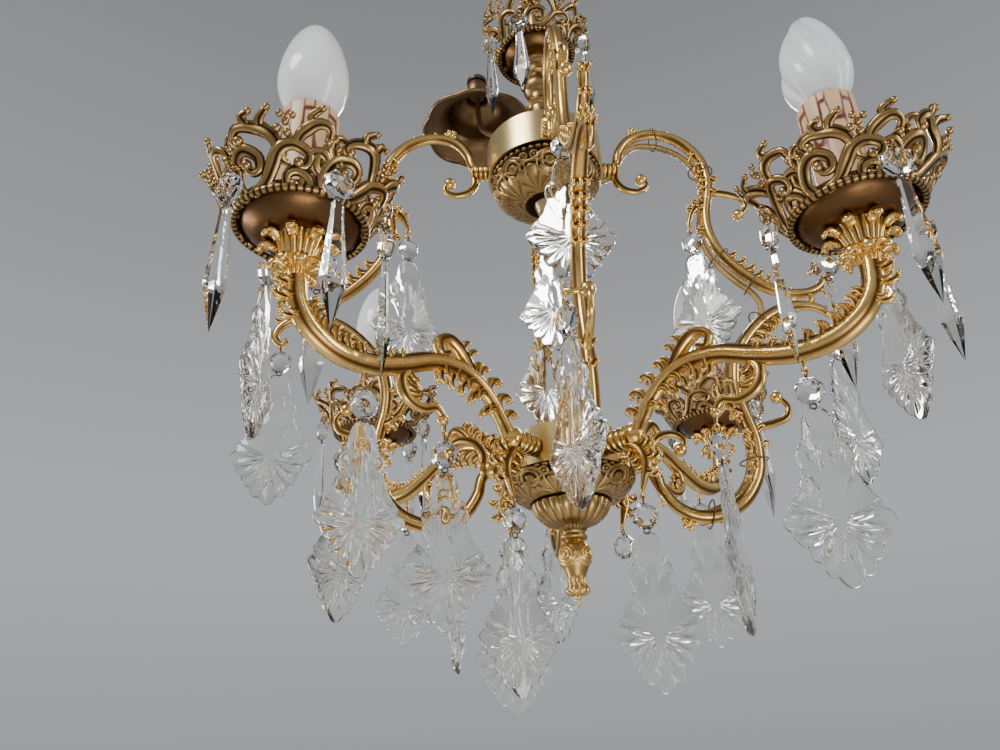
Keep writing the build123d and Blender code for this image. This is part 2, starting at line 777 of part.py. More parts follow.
def small_prism(place, swing_axis, facing):
    """A bead with a spear prism under it, hung at a place."""
    pieces = pendant_pieces(glass_spear(plate_top), facing, swing_axis)
    return [piece.moved(Location(place)) for piece in pieces]


prisms = []
for arm_azimuth in arm_azimuths:
    centre_x, centre_y = around(arm_azimuth, candle_radius)
    for azimuth in prism_azimuths[arm_azimuth]:
        x, y = around(azimuth, pan_eye[0])
        prisms += small_prism((centre_x + x, centre_y + y, level(pan_eye[1])), azimuth + 90, azimuth)
    for azimuth in plate_azimuths[arm_azimuth]:
        x, y = around(azimuth, pan_eye[0])
        place = Location((centre_x + x, centre_y + y, level(pan_eye[1])))
        pieces = pendant_pieces(glass_plate(plate_top), 180, azimuth + 90)
        side = "left" if arm_azimuth == 225 else "right"
        save(Compound(children=[piece.moved(place) for piece in pieces]), f"pendant_pan_{side}")
for azimuth in crown_prism_azimuths:
    x, y = around(azimuth, crown_eye[0])
    prisms += small_prism((x, y, level(crown_eye[1])), azimuth + 90, azimuth)
# The back right arm root has kept only its bead.
x, y = around(45, root_eye[0])
prisms += [piece.moved(Location((x, y, level(root_eye[1]))))
           for piece in pendant_pieces(glass_plate(plate_top), 300, 135)[:2]]
save(Compound(children=prisms), "small_prisms")

# ---------------------------------------------------------------- ties round rib and flex
tie_wire = 0.4
tie_points = [((79, 136), 80), ((108.5, 106), 5), ((110, 35.5), -37), ((128, 15.5), -52)]


def flex_tie(place, lean):
    """A wire loop round the right rib and its flex, square to the rib's direction."""
    middle = (place[0] - 1.2, flex_side * 0.4, level(place[1] - 1.2))
    with BuildPart() as tie:
        with Locations(Location(middle, (0, lean, 0))):
            Torus(rib_radius + flex_radius + 2.1, tie_wire)
    return tie.part


ties = []
for place, lean in tie_points:
    ties.append(flex_tie(place, lean))
    ties.append(flex_tie(place, lean).mirror(Plane.XY.offset(level(0))))
save(Compound(children=ties), "flex_ties")
print("rib flex", round(flex.volume / (3.14159 * flex_radius ** 2)), "mm of flex by volume")
lead_length = sum(edge.length for edge in lead_path.edges())
print("lead", round(lead_length), "mm; smallest radius", round(min(corner_radii(lead_points)), 1))
print("flex smallest radius", round(min(corner_radii(flex_outline_points)), 1))
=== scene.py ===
# %% [markdown]
# # A cast brass cage chandelier with cut glass
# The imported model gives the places: hubs, ribs, candle arms, candles and the eye that each
# pendant swings from. The pieces made here stand for the plain CAD solids and add what a
# foundry and a glass cutter give the real ones: scrolls, foliage, relief and facets.

# %% The frame
import json
import bpy
import numpy as np
from mathutils import Matrix, Vector


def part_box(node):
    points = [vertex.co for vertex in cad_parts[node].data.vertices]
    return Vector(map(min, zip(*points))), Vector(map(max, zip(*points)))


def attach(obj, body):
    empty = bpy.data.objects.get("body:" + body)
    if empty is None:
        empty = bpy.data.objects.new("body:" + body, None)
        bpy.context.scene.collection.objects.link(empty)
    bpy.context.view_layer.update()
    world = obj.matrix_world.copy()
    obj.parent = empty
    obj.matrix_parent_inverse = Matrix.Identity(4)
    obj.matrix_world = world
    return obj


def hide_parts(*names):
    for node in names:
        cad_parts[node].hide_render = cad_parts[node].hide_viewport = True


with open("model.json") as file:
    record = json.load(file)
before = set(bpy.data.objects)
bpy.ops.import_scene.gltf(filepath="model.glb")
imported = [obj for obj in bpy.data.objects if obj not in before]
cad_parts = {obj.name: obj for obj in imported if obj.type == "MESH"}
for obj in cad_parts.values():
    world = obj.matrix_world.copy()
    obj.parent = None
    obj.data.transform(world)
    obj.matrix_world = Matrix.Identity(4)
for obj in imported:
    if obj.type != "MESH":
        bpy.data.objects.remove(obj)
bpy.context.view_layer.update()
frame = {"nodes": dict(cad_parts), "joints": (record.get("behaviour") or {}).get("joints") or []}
nodes = frame["nodes"]
joints = {joint["name"]: joint for joint in frame["joints"]}
MM = 0.001

# %% [markdown]
# Lengths below are in millimetres, as on a workshop drawing, and become metres when a mesh
# is made. The middle plane of the cage is half way down a rib, and the heights of castings
# are counted from it, up or down.

# %% Driving places
rib_low, rib_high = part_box("rib_right")
middle = (rib_low.z + rib_high.z) / 2 / MM
candle_places = [np.array(joints[f"bulb_{n}_turn"]["pos_m"]) / MM for n in (1, 2, 3, 4)]
arm_azimuths = [np.degrees(np.arctan2(place[1], place[0])) for place in candle_places]
candle_radius = float(np.hypot(candle_places[0][0], candle_places[0][1]))
rib_azimuths = {"rib_right": 0, "rib_back": 90, "rib_left": 180, "rib_front": 270}
print("middle plane", round(middle, 1), "candle radius", round(candle_radius, 1))

# %% [markdown]
# ## Camera
# The chandelier is seen from below and close by, so the camera stands under the cage and
# looks up past it. Its three axes are worked out from a yaw, a pitch and a small roll.

# %% Camera
camera_place = np.array([-49.0, -420.0, middle - 248.0])
camera_pitch = np.radians(25.6)
camera_roll = np.radians(2.37)
yaw_slope = 0.03      # how far to the right for each unit ahead
level_look = np.array([yaw_slope, 1.0, 0.0]) / np.hypot(yaw_slope, 1.0)
level_right = np.array([level_look[1], -level_look[0], 0.0])
look = level_look * np.cos(camera_pitch) + np.array([0, 0, np.sin(camera_pitch)])
look_up = -level_look * np.sin(camera_pitch) + np.array([0, 0, np.cos(camera_pitch)])
axis_right = level_right * np.cos(camera_roll) - look_up * np.sin(camera_roll)
axis_up = level_right * np.sin(camera_roll) + look_up * np.cos(camera_roll)
camera_data = bpy.data.cameras.new("camera")
camera_data.sensor_width = 36.0
camera_data.lens = 28.08
camera_data.clip_start = 0.01
camera = bpy.data.objects.new("camera", camera_data)
camera.matrix_world = Matrix([
    [axis_right[i], axis_up[i], -look[i], camera_place[i] * MM] for i in range(3)
] + [[0, 0, 0, 1]])
bpy.context.scene.collection.objects.link(camera)
bpy.context.scene.camera = camera

# %% [markdown]
# ## Making surfaces
# A part is a set of points, its faces, and a number for each point that says how far it
# stands out of the casting's recesses: 1 on the worn high places, 0 where patina collects.
# Parts are joined into one mesh, and a part that came out inside out is turned round by
# the sign of its volume.

# %% Parts and meshes
def unit(vectors):
    return vectors / np.maximum(np.linalg.norm(vectors, axis=-1, keepdims=True), 1e-9)


def part(points, quads, tris=None, high=None):
    """One closed surface: points, faces of four, faces of three, and its highness."""
    points = np.asarray(points, float).reshape(-1, 3)
    tris = np.zeros((0, 3), int) if tris is None else np.asarray(tris, int)
    high = np.ones(len(points)) if high is None else np.asarray(high, float).ravel()
    quads = np.asarray(quads, int).reshape(-1, 4)
    halves = np.vstack([quads[:, [0, 1, 2]], quads[:, [0, 2, 3]], tris])
    a, b, c = points[halves[:, 0]], points[halves[:, 1]], points[halves[:, 2]]
    if np.einsum("ij,ij->i", a - points[0], np.cross(b - points[0], c - points[0])).sum() < 0:
        quads, tris = quads[:, ::-1], tris[:, ::-1]
    return points, quads, tris, high


def grid_quads(rows, columns, around=True, start=0):
    """Faces of a grid of rows by columns; around joins the last column to the first."""
    row, column = np.meshgrid(np.arange(rows - 1), np.arange(columns if around else columns - 1),
                              indexing="ij")
    following = (column + 1) % columns
    quads = np.stack([row * columns + column, row * columns + following,
                      (row + 1) * columns + following, (row + 1) * columns + column], -1)
    return quads.reshape(-1, 4) + start


def moved(one, matrix=None, shift=(0, 0, 0)):
    """A part turned by a 3 by 3 matrix and then shifted."""
    points, quads, tris, high = one
    if matrix is not None:
        points = points @ np.asarray(matrix).T
    return part(points + np.asarray(shift, float), quads, tris, high)


def turn_z(degrees):
    c, s = np.cos(np.radians(degrees)), np.sin(np.radians(degrees))
    return np.array([[c, -s, 0], [s, c, 0], [0, 0, 1]])


def capped(rings, first, last, high=None):
    """A closed surface from rings of points, drawn together to a point at either end."""
    count, sides = rings.shape[:2]
    column = np.arange(sides)
    following = (column + 1) % sides
    pole, end = count * sides, (count - 1) * sides
    tris = np.vstack([np.stack([np.full(sides, pole), following, column], -1),
                      np.stack([np.full(sides, pole + 1), column + end, following + end], -1)])
    points = np.vstack([rings.reshape(-1, 3), first, last])
    shade = np.ones(len(points))
    if high is not None:
        shade[:-2] = np.ravel(high)
    return part(points, grid_quads(count, sides), tris, shade)


def piece(name, parts, material, body="frame", stands_for=(), flat=()):
    """Joins parts into one object that rides on a body and stands for CAD nodes. The parts
    numbered in flat keep their facets; the rest are smooth."""
    offsets = np.cumsum([0] + [len(p[0]) for p in parts])
    points = np.vstack([p[0] for p in parts]) * MM
    quads = np.vstack([p[1] + offset for p, offset in zip(parts, offsets)])
    tris = np.vstack([p[2] + offset for p, offset in zip(parts, offsets)])
    mesh = bpy.data.meshes.new(name)
    mesh.vertices.add(len(points))
    mesh.vertices.foreach_set("co", points.ravel())
    mesh.loops.add(quads.size + tris.size)
    mesh.loops.foreach_set("vertex_index", np.concatenate([quads.ravel(), tris.ravel()]))
    mesh.polygons.add(len(quads) + len(tris))
    sizes = np.concatenate([np.full(len(quads), 4), np.full(len(tris), 3)])
    mesh.polygons.foreach_set("loop_start", np.concatenate([[0], np.cumsum(sizes)[:-1]]))
    smooth = [i not in flat for i in range(len(parts))]
    mesh.polygons.foreach_set("use_smooth", np.concatenate([
        np.repeat(smooth, [len(p[which]) for p in parts]) for which in (1, 2)]))
    mesh.update(calc_edges=True)
    high = mesh.attributes.new("high", "FLOAT", "POINT")
    high.data.foreach_set("value", np.concatenate([p[3] for p in parts]))
    mesh.validate()
    mesh.materials.append(material)
    made = bpy.data.objects.new(name, mesh)
    bpy.context.scene.collection.objects.link(made)
    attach(made, body)
    if stands_for:
        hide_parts(*stands_for)
    print(name, len(points), "points")
    return made


# %% [markdown]
# ## Curves, rods and turned bodies
# Castings are mostly rods that swell and taper along a curve. A smooth curve goes through a
# few given points; a volute is a spiral whose radius shrinks as it turns.

# %% Curves
def smooth_curve(points, spacing=1.2):
    """The Catmull-Rom curve through points, then evenly spaced points along it."""
    given = np.asarray(points, float)
    ends = np.vstack([2 * given[0] - given[1], given, 2 * given[-1] - given[-2]])
    a, b, c, d = (ends[i:len(ends) - 3 + i][:, None] for i in range(4))
    t = np.linspace(0, 1, 24, endpoint=False)[None, :, None]
    curve = 0.5 * (2 * b + (c - a) * t + (2 * a - 5 * b + 4 * c - d) * t ** 2
                   + (3 * b - a - 3 * c + d) * t ** 3)
    curve = np.vstack([curve.reshape(-1, given.shape[1]), given[-1:]])
    return even_curve(curve, spacing)


def even_curve(curve, spacing):
    run = np.concatenate([[0], np.cumsum(np.linalg.norm(np.diff(curve, axis=0), axis=1))])
    count = max(6, int(run[-1] / spacing))
    where = np.linspace(0, run[-1], count)
    return np.stack([np.interp(where, run, curve[:, i]) for i in range(curve.shape[1])], -1)


def volute(start, heading, turn, first_radius, last_radius, spacing=0.9):
    """A flat spiral: from a heading it turns by an angle while its radius shrinks evenly."""
    angle = np.radians(np.linspace(0, abs(turn), 60))
    radius = np.linspace(first_radius, last_radius, 60)
    facing = np.radians(heading) + np.sign(turn) * angle
    step = np.stack([np.cos(facing), np.sin(facing)], -1) * (radius * angle[1])[:, None]
    curve = np.asarray(start, float) + np.vstack([[0, 0], np.cumsum(step[:-1], axis=0)])
    return even_curve(curve, spacing)


def in_plane(curve):
    """A flat curve of radius and cage height, stood up along +X."""
    return np.stack([curve[:, 0], 0 * curve[:, 0], curve[:, 1] + middle], -1)


# %% Rods
def rod(path, radius, sides=14, side=(0, 1, 0), flat=1.0, grooves=0, groove=0.0):
    """A rod along a path. Each ring is path + r (cos a * across + flat sin a * side), and
    grooves cut r by a share of cos(grooves * a). Both ends close on a point."""
    path = np.asarray(path, float)
    radius = np.broadcast_to(np.asarray(radius, float), (len(path),)).copy()
    tangent = unit(np.gradient(path, axis=0))
    side = np.broadcast_to(np.asarray(side, float), path.shape)
    side = unit(side - np.einsum("ij,ij->i", side, tangent)[:, None] * tangent)
    across = np.cross(tangent, side)
    angle = np.linspace(0, 2 * np.pi, sides, endpoint=False)
    ripple = 1 - groove * (0.5 - 0.5 * np.cos(grooves * angle)) ** 2
    reach = radius[:, None] * ripple[None, :]
    rings = (path[:, None] + reach[..., None] * (np.cos(angle)[None, :, None] * across[:, None]
             + flat * np.sin(angle)[None, :, None] * side[:, None]))
    high = None if groove == 0 else np.tile((ripple - 1 + groove) / groove, len(path))
    return capped(rings, path[0] - tangent[0] * radius[0] * 0.4,
                  path[-1] + tangent[-1] * radius[-1] * 0.4, high)


def taper(count, first, widest, last, peak=0.4):
    """A thickness along a rod: from first it swells to widest at peak and ends at last."""
    return np.interp(np.linspace(0, 1, count), [0, peak, 1], [first, widest, last])


def ball(centre, radius, sides=16):
    """A round bead: rings of radius r sin t at height r cos t."""
    lap = np.linspace(0, np.pi, sides // 2 + 1)[1:-1]
    path = np.asarray(centre, float) + np.stack([0 * lap, 0 * lap, -radius * np.cos(lap)], -1)
    return rod(path, radius * np.sin(lap), sides)


# %% Turned bodies
def turned(profile, centre=(0, 0), segments=72, relief=None, high=None):
    """A body of revolution from a closed outline of (radius, height). relief(angle, along)
    moves each point outward, where along runs 0 to 1 round the outline."""
    outline = np.asarray(profile, float)
    angle = np.linspace(0, 2 * np.pi, segments, endpoint=False)
    along = np.linspace(0, 1, len(outline), endpoint=False)
    reach = np.repeat(outline[:, :1], segments, 1)
    raised = np.zeros_like(reach)
    if relief is not None:
        raised = relief(angle[None, :], along[:, None]) + np.zeros_like(reach)
        reach = reach + raised
    points = np.stack([centre[0] + reach * np.cos(angle), centre[1] + reach * np.sin(angle),
                       np.repeat(outline[:, 1:], segments, 1) + middle], -1)
    rows = len(outline)
    wrapped = grid_quads(rows + 1, segments) % (rows * segments)
    shade = np.ones_like(reach)
    if relief is not None:
        shade = np.clip(raised / max(raised.max(), 1e-6), 0, 1)
    if high is not None:
        shade = high(angle[None, :], along[:, None]) + 0 * reach
    return part(points, wrapped, None, shade)


def solid_turned(profile, centre=(0, 0), segments=48, relief=None, low=0.0):
    """A solid of revolution: the outline starts and ends on the axis. low is how high the
    ground of the relief counts: 0 fills it with patina, 1 leaves it bright."""
    outline = np.asarray(profile, float)
    inner = outline[1:-1]
    angle = np.linspace(0, 2 * np.pi, segments, endpoint=False)
    along = np.linspace(0, 1, len(inner))
    reach = np.repeat(inner[:, :1], segments, 1)
    raised = 0 * reach
    if relief is not None:
        raised = raised + relief(angle[None, :], along[:, None])
    reach = reach + raised
    rings = np.stack([centre[0] + reach * np.cos(angle), centre[1] + reach * np.sin(angle),
                      np.repeat(inner[:, 1:], segments, 1) + middle], -1)
    poles = [[centre[0], centre[1], outline[i, 1] + middle] for i in (0, -1)]
    shade = None
    if relief is not None:
        shade = low + (1 - low) * (raised - raised.min()) / max(np.ptp(raised), 1e-6)
    return capped(rings, *poles, shade)


# %% [markdown]
# ## Finishes
# Cast brass is bright where it was polished and brown in its recesses. Each casting carries
# the number `high`, and the brass blends its colour and its roughness by it, with a fine
# grain and slow blotches of tarnish on top. Plain turned parts have the grain alone.

# %% Materials
def material(name):
    """A new material with its shader and a node helper."""
    made = bpy.data.materials.new(name)
    made.use_nodes = True
    tree = made.node_tree
    shader = tree.nodes["Principled BSDF"]

    def node(kind, **inputs):
        fresh = tree.nodes.new(kind)
        for key, value in inputs.items():
            fresh.inputs[key.replace("_", " ")].default_value = value
        return fresh

    return made, tree, shader, node


def noise_of(tree, node, scale, detail=4.0):
    """A noise on the piece's own coordinates."""
    place = node("ShaderNodeTexCoord")
    noise = node("ShaderNodeTexNoise", Scale=scale, Detail=detail)
    tree.links.new(place.outputs["Object"], noise.inputs["Vector"])
    return noise


def bumped(tree, node, shader, source, strength, depth):
    """Lets a noise raise the surface by a depth in metres."""
    bump = node("ShaderNodeBump", Strength=strength, Distance=depth)
    tree.links.new(source.outputs["Fac"], bump.inputs["Height"])
    tree.links.new(bump.outputs["Normal"], shader.inputs["Normal"])


def ramp_between(tree, node, source, low, high, low_at=0.0, high_at=1.0):
    """A colour that runs from low to high as the source does."""
    ramp = node("ShaderNodeValToRGB")
    ramp.color_ramp.elements[0].position = low_at
    ramp.color_ramp.elements[0].color = (*low, 1)
    ramp.color_ramp.elements[1].position = high_at
    ramp.color_ramp.elements[1].color = (*high, 1)
    tree.links.new(source, ramp.inputs["Fac"])
    return ramp.outputs["Color"]


def brass(name, bright, patina, smoothest=0.16, roughest=0.5, cast=True, tarnish=0.35, grain=0.25):
    """Brass: patina in the recesses of a casting, blotches of tarnish, and a fine grain."""
    made, tree, shader, node = material(name)
    shader.inputs["Metallic"].default_value = 1.0
    blotch = noise_of(tree, node, 38.0, 5.0)
    worn = node("ShaderNodeMath")
    worn.operation = "MULTIPLY_ADD"
    tree.links.new(blotch.outputs["Fac"], worn.inputs[0])
    worn.inputs[1].default_value = -2.0 * tarnish
    worn.inputs[2].default_value = 1.0 + tarnish * 0.75
    level_of = worn.outputs[0]
    if cast:
        high = node("ShaderNodeAttribute")
        high.attribute_name = "high"
        both = node("ShaderNodeMath")
        both.operation = "MULTIPLY"
        tree.links.new(high.outputs["Fac"], both.inputs[0])
        tree.links.new(level_of, both.inputs[1])
        level_of = both.outputs[0]
    colour = ramp_between(tree, node, level_of, patina, bright, 0.12, 0.78)
    tree.links.new(colour, shader.inputs["Base Color"])
    shine = node("ShaderNodeMapRange")
    tree.links.new(level_of, shine.inputs["Value"])
    shine.inputs["To Min"].default_value = roughest
    shine.inputs["To Max"].default_value = smoothest
    tree.links.new(shine.outputs["Result"], shader.inputs["Roughness"])
    bumped(tree, node, shader, noise_of(tree, node, 900.0, 3.0), grain, 0.0003)
    return made


polished_brass = brass("polished_brass", (0.88, 0.58, 0.19), (0.12, 0.05, 0.012), 0.13, 0.5)
antique_brass = brass("antique_brass", (0.46, 0.29, 0.11), (0.022, 0.011, 0.006), 0.2, 0.6)
dish_brass = brass("dish_brass", (0.13, 0.066, 0.026), (0.055, 0.026, 0.012), 0.30, 0.55,
                   cast=False)
satin_brass = brass("satin_brass", (0.68, 0.52, 0.24), (0.38, 0.26, 0.10), 0.27, 0.45, cast=False,
                    tarnish=0.25)
canopy_brass = brass("canopy_brass", (0.22, 0.14, 0.07), (0.06, 0.035, 0.02), 0.35, 0.6,
                     cast=False)
dark_wire = brass("dark_wire", (0.16, 0.11, 0.06), (0.05, 0.035, 0.02), 0.4, 0.6, cast=False)


def crystal_glass():
    """Clear, faintly warm glass with a slight waviness left by the mould."""
    made, tree, shader, node = material("cut_crystal")
    shader.inputs["Base Color"].default_value = (0.97, 0.98, 0.95, 1)
    shader.inputs["Transmission Weight"].default_value = 1.0
    shader.inputs["IOR"].default_value = 1.47
    smear = noise_of(tree, node, 60.0, 3.0)
    rough = node("ShaderNodeMapRange")
    rough.inputs["To Min"].default_value = 0.0
    rough.inputs["To Max"].default_value = 0.02
    rough.inputs["From Min"].default_value = 0.35
    tree.links.new(smear.outputs["Fac"], rough.inputs["Value"])
    tree.links.new(rough.outputs["Result"], shader.inputs["Roughness"])
    bumped(tree, node, shader, noise_of(tree, node, 120.0, 2.0), 0.15, 0.0008)
    return made


crystal = crystal_glass()


def coated(name, low, high, roughness, scale=50.0, transmission=0.0):
    """Plastic or opal glass: a slow change of tone and a faint unevenness."""
    made, tree, shader, node = material(name)
    tone = noise_of(tree, node, scale, 3.0)
    colour = ramp_between(tree, node, tone.outputs["Fac"], low, high, 0.3, 0.7)
    tree.links.new(colour, shader.inputs["Base Color"])
    shader.inputs["Roughness"].default_value = roughness
    shader.inputs["Transmission Weight"].default_value = transmission
    bumped(tree, node, shader, noise_of(tree, node, scale * 12, 2.0), 0.2, 0.0002)
    return made


opal_glass = coated("opal_glass", (0.86, 0.88, 0.87), (0.93, 0.94, 0.93), 0.12)
frosted_glass = coated("frosted_glass", (0.78, 0.82, 0.83), (0.88, 0.91, 0.91), 0.22)
dark_plastic = coated("dark_plastic", (0.05, 0.03, 0.02), (0.09, 0.05, 0.03), 0.4)
gold_flex = coated("gold_flex", (0.30, 0.17, 0.05), (0.52, 0.34, 0.13), 0.22, 90.0,
                   transmission=0.2)
brown_flex = coated("brown_flex", (0.14, 0.06, 0.035), (0.24, 0.11, 0.06), 0.35, 70.0)


def candle_plastic():
    """Cream plastic whose raised drips are outlined in reddish brown, by the number high."""
    made, tree, shader, node = material("candle_plastic")
    outline = node("ShaderNodeAttribute")
    outline.attribute_name = "high"
    tone = noise_of(tree, node, 70.0, 3.0)
    cream, pale_cream = (0.80, 0.50, 0.27), (0.88, 0.61, 0.37)
    body = ramp_between(tree, node, tone.outputs["Fac"], cream, pale_cream, 0.3, 0.7)
    mix = node("ShaderNodeMix")
    mix.data_type = "RGBA"
    tree.links.new(outline.outputs["Fac"], mix.inputs["Factor"])
    tree.links.new(body, mix.inputs[6])
    mix.inputs[7].default_value = (0.20, 0.045, 0.018, 1)
    tree.links.new(mix.outputs[2], shader.inputs["Base Color"])
    shader.inputs["Roughness"].default_value = 0.42
    shader.inputs["Subsurface Weight"].default_value = 0.04
    return made


wax_plastic = candle_plastic()

# %% [markdown]
# ## Foliage
# Acanthus on a casting is a row of fingers that leave the stem along its run and roll
# outward. Three rows, one in the plane of the casting and one to each side, read as a leaf.

# %% Leaves, eyes and balls on a casting
def fingers(curve, start, end, count, length, outward=1, fan=2.2, thick=2.0, turn=165, lean=12,
            rows=(-1, 0, 1)):
    """Fingers between two shares of a curve. Each leaves along the stem, leans out, and curls
    away from it in a volute that shrinks; a bead closes its tip. Later fingers are longer."""
    made = []
    tangent = unit(np.gradient(curve, axis=0))
    for order, share in enumerate(np.linspace(start, end, count)):
        index = int(share * (len(curve) - 1))
        heading = np.degrees(np.arctan2(tangent[index, 1], tangent[index, 0]))
        normal = outward * np.array([-tangent[index, 1], tangent[index, 0]])
        grow = 0.72 + 0.5 * np.sin(np.pi * (order + 0.7) / (count + 0.4))
        for row in rows:
            size = length * grow * (1.0 if row == 0 else 0.84)
            tip = volute(curve[index] + normal * 1.6, heading + outward * lean, outward * turn,
                         size * 0.98, size * 0.16)
            along = np.linspace(0, 1, len(tip))
            side = row * (1.3 + fan * np.sin(along * np.pi * 0.5))
            path = np.stack([tip[:, 0], side, tip[:, 1] + middle], -1)
            thickness = taper(len(tip), thick * 0.7, thick * 1.12, thick * 0.62, 0.55)
            made.append(rod(path, thickness, 8, flat=0.85, grooves=2, groove=0.16))
            made.append(ball(path[-1], thick * 0.78, 8))
    return made


def eye(place, radius=2.0, wire=0.6):
    """The pierced eye that a pendant's wire passes through: a small ring in the plane."""
    lap = np.linspace(0, 2 * np.pi, 25)
    path = np.stack([place[0] + (radius - wire) * np.sin(lap), 0 * lap,
                     place[1] + (radius - wire) * np.cos(lap) + middle], -1)
    return rod(path, wire, 8)


def cast_ball(place, radius, side=0.0):
    return ball((place[0], side, place[1] + middle), radius)


def scroll(points, first, widest, last, grooves=2, flat=1.0):
    """A rod through given points in the plane of the casting."""
    curve = smooth_curve(points)
    return rod(in_plane(curve), taper(len(curve), first, widest, last), 14, grooves=grooves,
               groove=0.14, flat=flat)


def bud(place, radius, petals=5):
    """A flower boss: a round heart with smaller balls about it as petals."""
    made = [cast_ball(place, radius)]
    for turn in np.arange(petals) * 2 * np.pi / petals:
        spot = np.asarray(place) + 1.25 * radius * np.array([np.cos(turn), np.sin(turn)])
        made.append(cast_ball(spot, radius * 0.72, radius * 0.32))
    return made


def ringed_ferrule(start, end, height, radius):
    """A turned ferrule along +X whose outline is a row of round rings."""
    run = np.linspace(0, 1, 61)
    bulge = np.abs(np.sin(np.pi * 3.5 * run)) ** 0.6
    outline = np.stack([radius - 1.3 + 1.3 * bulge, start + (end - start) * run], -1)
    body = np.vstack([[[0, start]], outline, [[0, end]]])
    upright = solid_turned(body, segments=32)
    points = upright[0] - [0, 0, middle]
    shade = np.concatenate([np.repeat(bulge, 32), [0.4, 0.4]])
    return moved(part(points, upright[1], upright[2], shade),
                 [[0, 0, 1], [0, 1, 0], [-1, 0, 0]], (0, 0, height + middle))


# %% [markdown]
# ## The ribs of the cage
# One casting makes the whole cage: the lower half of each rib is the upper one turned over.
# Both meet at the widest point, where a rivet holds them.

# %% Rib castings
rib_curve = smooth_curve([
    (46, 106), (49.5, 112), (52, 121), (59, 131), (70, 136.5), (83, 136), (97, 128), (107, 113),
    (109.5, 96), (107.5, 82), (104.3, 68), (104, 54), (108, 39), (118, 24), (132, 11.5), (147, 5),
    (160, 5), (169, 9.5), (172.5, 16.5), (169, 21.5), (164.5, 19.5),
])
rib_eye = (92.5, 55.0)
tip_eye = (168.0, -24.0)
ball_eye = (127.0, -88.0)
low_eye, low_turn = (127.4, -72.0), -4.7


def rib_casting(hub_radius):
    """The S-scroll above the middle plane, in the plane of +X."""
    count = len(rib_curve)
    swell = np.interp(np.linspace(0, 1, count), [0, 0.12, 0.3, 0.48, 0.6, 0.8, 0.93, 1],
                      [3.0, 3.6, 4.2, 3.4, 3.7, 4.0, 2.6, 1.7])
    made = [rod(in_plane(rib_curve), swell, 20, grooves=4, groove=0.16)]
    made.append(ringed_ferrule(hub_radius, 50.0, 106.0, 5.2))
    made += fingers(rib_curve, 0.31, 0.43, 5, 6.6, outward=-1, thick=1.7, turn=95, lean=4)
    made += fingers(rib_curve, 0.40, 0.44, 2, 4.2, thick=1.2)
    made += fingers(rib_curve, 0.66, 0.77, 5, 6.4, thick=1.6, turn=150)
    made += fingers(rib_curve, 0.885, 0.95, 3, 3.6, fan=1.2, thick=1.1, outward=-1)
    made += fingers(rib_curve, 0.50, 0.56, 2, 3.6, outward=-1, fan=1.4, thick=1.2)
    for share in (0.155, 0.18, 0.205, 0.23):
        spot = rib_curve[int(share * count)]
        made.append(cast_ball(spot + unit(spot - [79, 100]) * 4.4, 1.3))
    made.append(scroll([(48, 104), (48, 96), (53, 89.5), (61, 87.5), (67.5, 91), (67.5, 97)],
                       2.6, 2.5, 1.6))
    made.append(cast_ball((65, 97.5), 4.0))
    made.append(scroll([(109, 89), (114, 85), (122, 83), (130, 79.5), (132.5, 73), (129, 67.5)],
                       2.4, 2.5, 1.5))
    made.append(cast_ball((126.5, 66.5), 3.8))
    to_eye = [(107, 77), (101, 74), (96, 69), (93, 62)]
    made.append(scroll(to_eye + [(92.5, 57.5)], 2.2, 2.4, 1.0, flat=1.3))
    made += fingers(smooth_curve(to_eye), 0.1, 0.5, 3, 3.2, outward=-1, fan=1.2, thick=1.0)
    made += bud((64, 140.0), 2.3)
    made += bud((101, 77), 1.9)
    return made


def turned_over(parts):
    """The same parts below the middle plane."""
    flip = np.diag([1.0, 1.0, -1.0])
    return [moved(one, flip, (0, 0, 2 * middle)) for one in parts]


upper_casting = rib_casting(39.0)
lower_casting = turned_over(rib_casting(28.6))
for name, azimuth in rib_azimuths.items():
    parts = upper_casting + [eye(rib_eye)] + lower_casting
    if f"swing_rib_tip_{name[4:]}" in joints:
        parts = parts + [eye(tip_eye)]
    if f"swing_rib_ball_{name[4:]}" in joints:
        parts = parts + [eye(ball_eye), scroll([(127, -82), (127, -86.5)], 1.4, 1.2, 0.8)]
    if f"swing_rib_low_{name[4:]}" in joints:
        side_bar = rod([[126.6, 0.5, middle - 67.3], [126.6, -10.7, middle - 67.3]], 1.5, 12,
                       side=(1, 0, 0))
        parts = parts + [side_bar] + [moved(one, turn_z(low_turn)) for one in (
            eye(low_eye), scroll([(127.2, -67.4), (127.4, -70.2)], 1.3, 1.1, 0.7))]
    piece(f"{name}_castings", [moved(one, turn_z(azimuth)) for one in parts], polished_brass,
          stands_for=[name])

# %% [markdown]
# ## Candle arms
# Each arm leaves a boss on the lower hub, arches over, dips, and rises into a leafy cup
# under its pan. A branch scroll curls back from the dip and ends in a hook.

# %% Candle arms
arm_curve = smooth_curve([
    (38, -100), (47, -99.5), (53, -92), (60, -82.5), (71, -74), (85, -70.5), (103, -73),
    (121, -80.5), (140, -86.5), (158, -86.5), (171.5, -80.5), (179, -71), (181, -60), (181, -50),
])
outer_hook = (142.0, -97.0)
inner_eye = (94.0, -110.0)
root_eye = (47.0, -134.0)


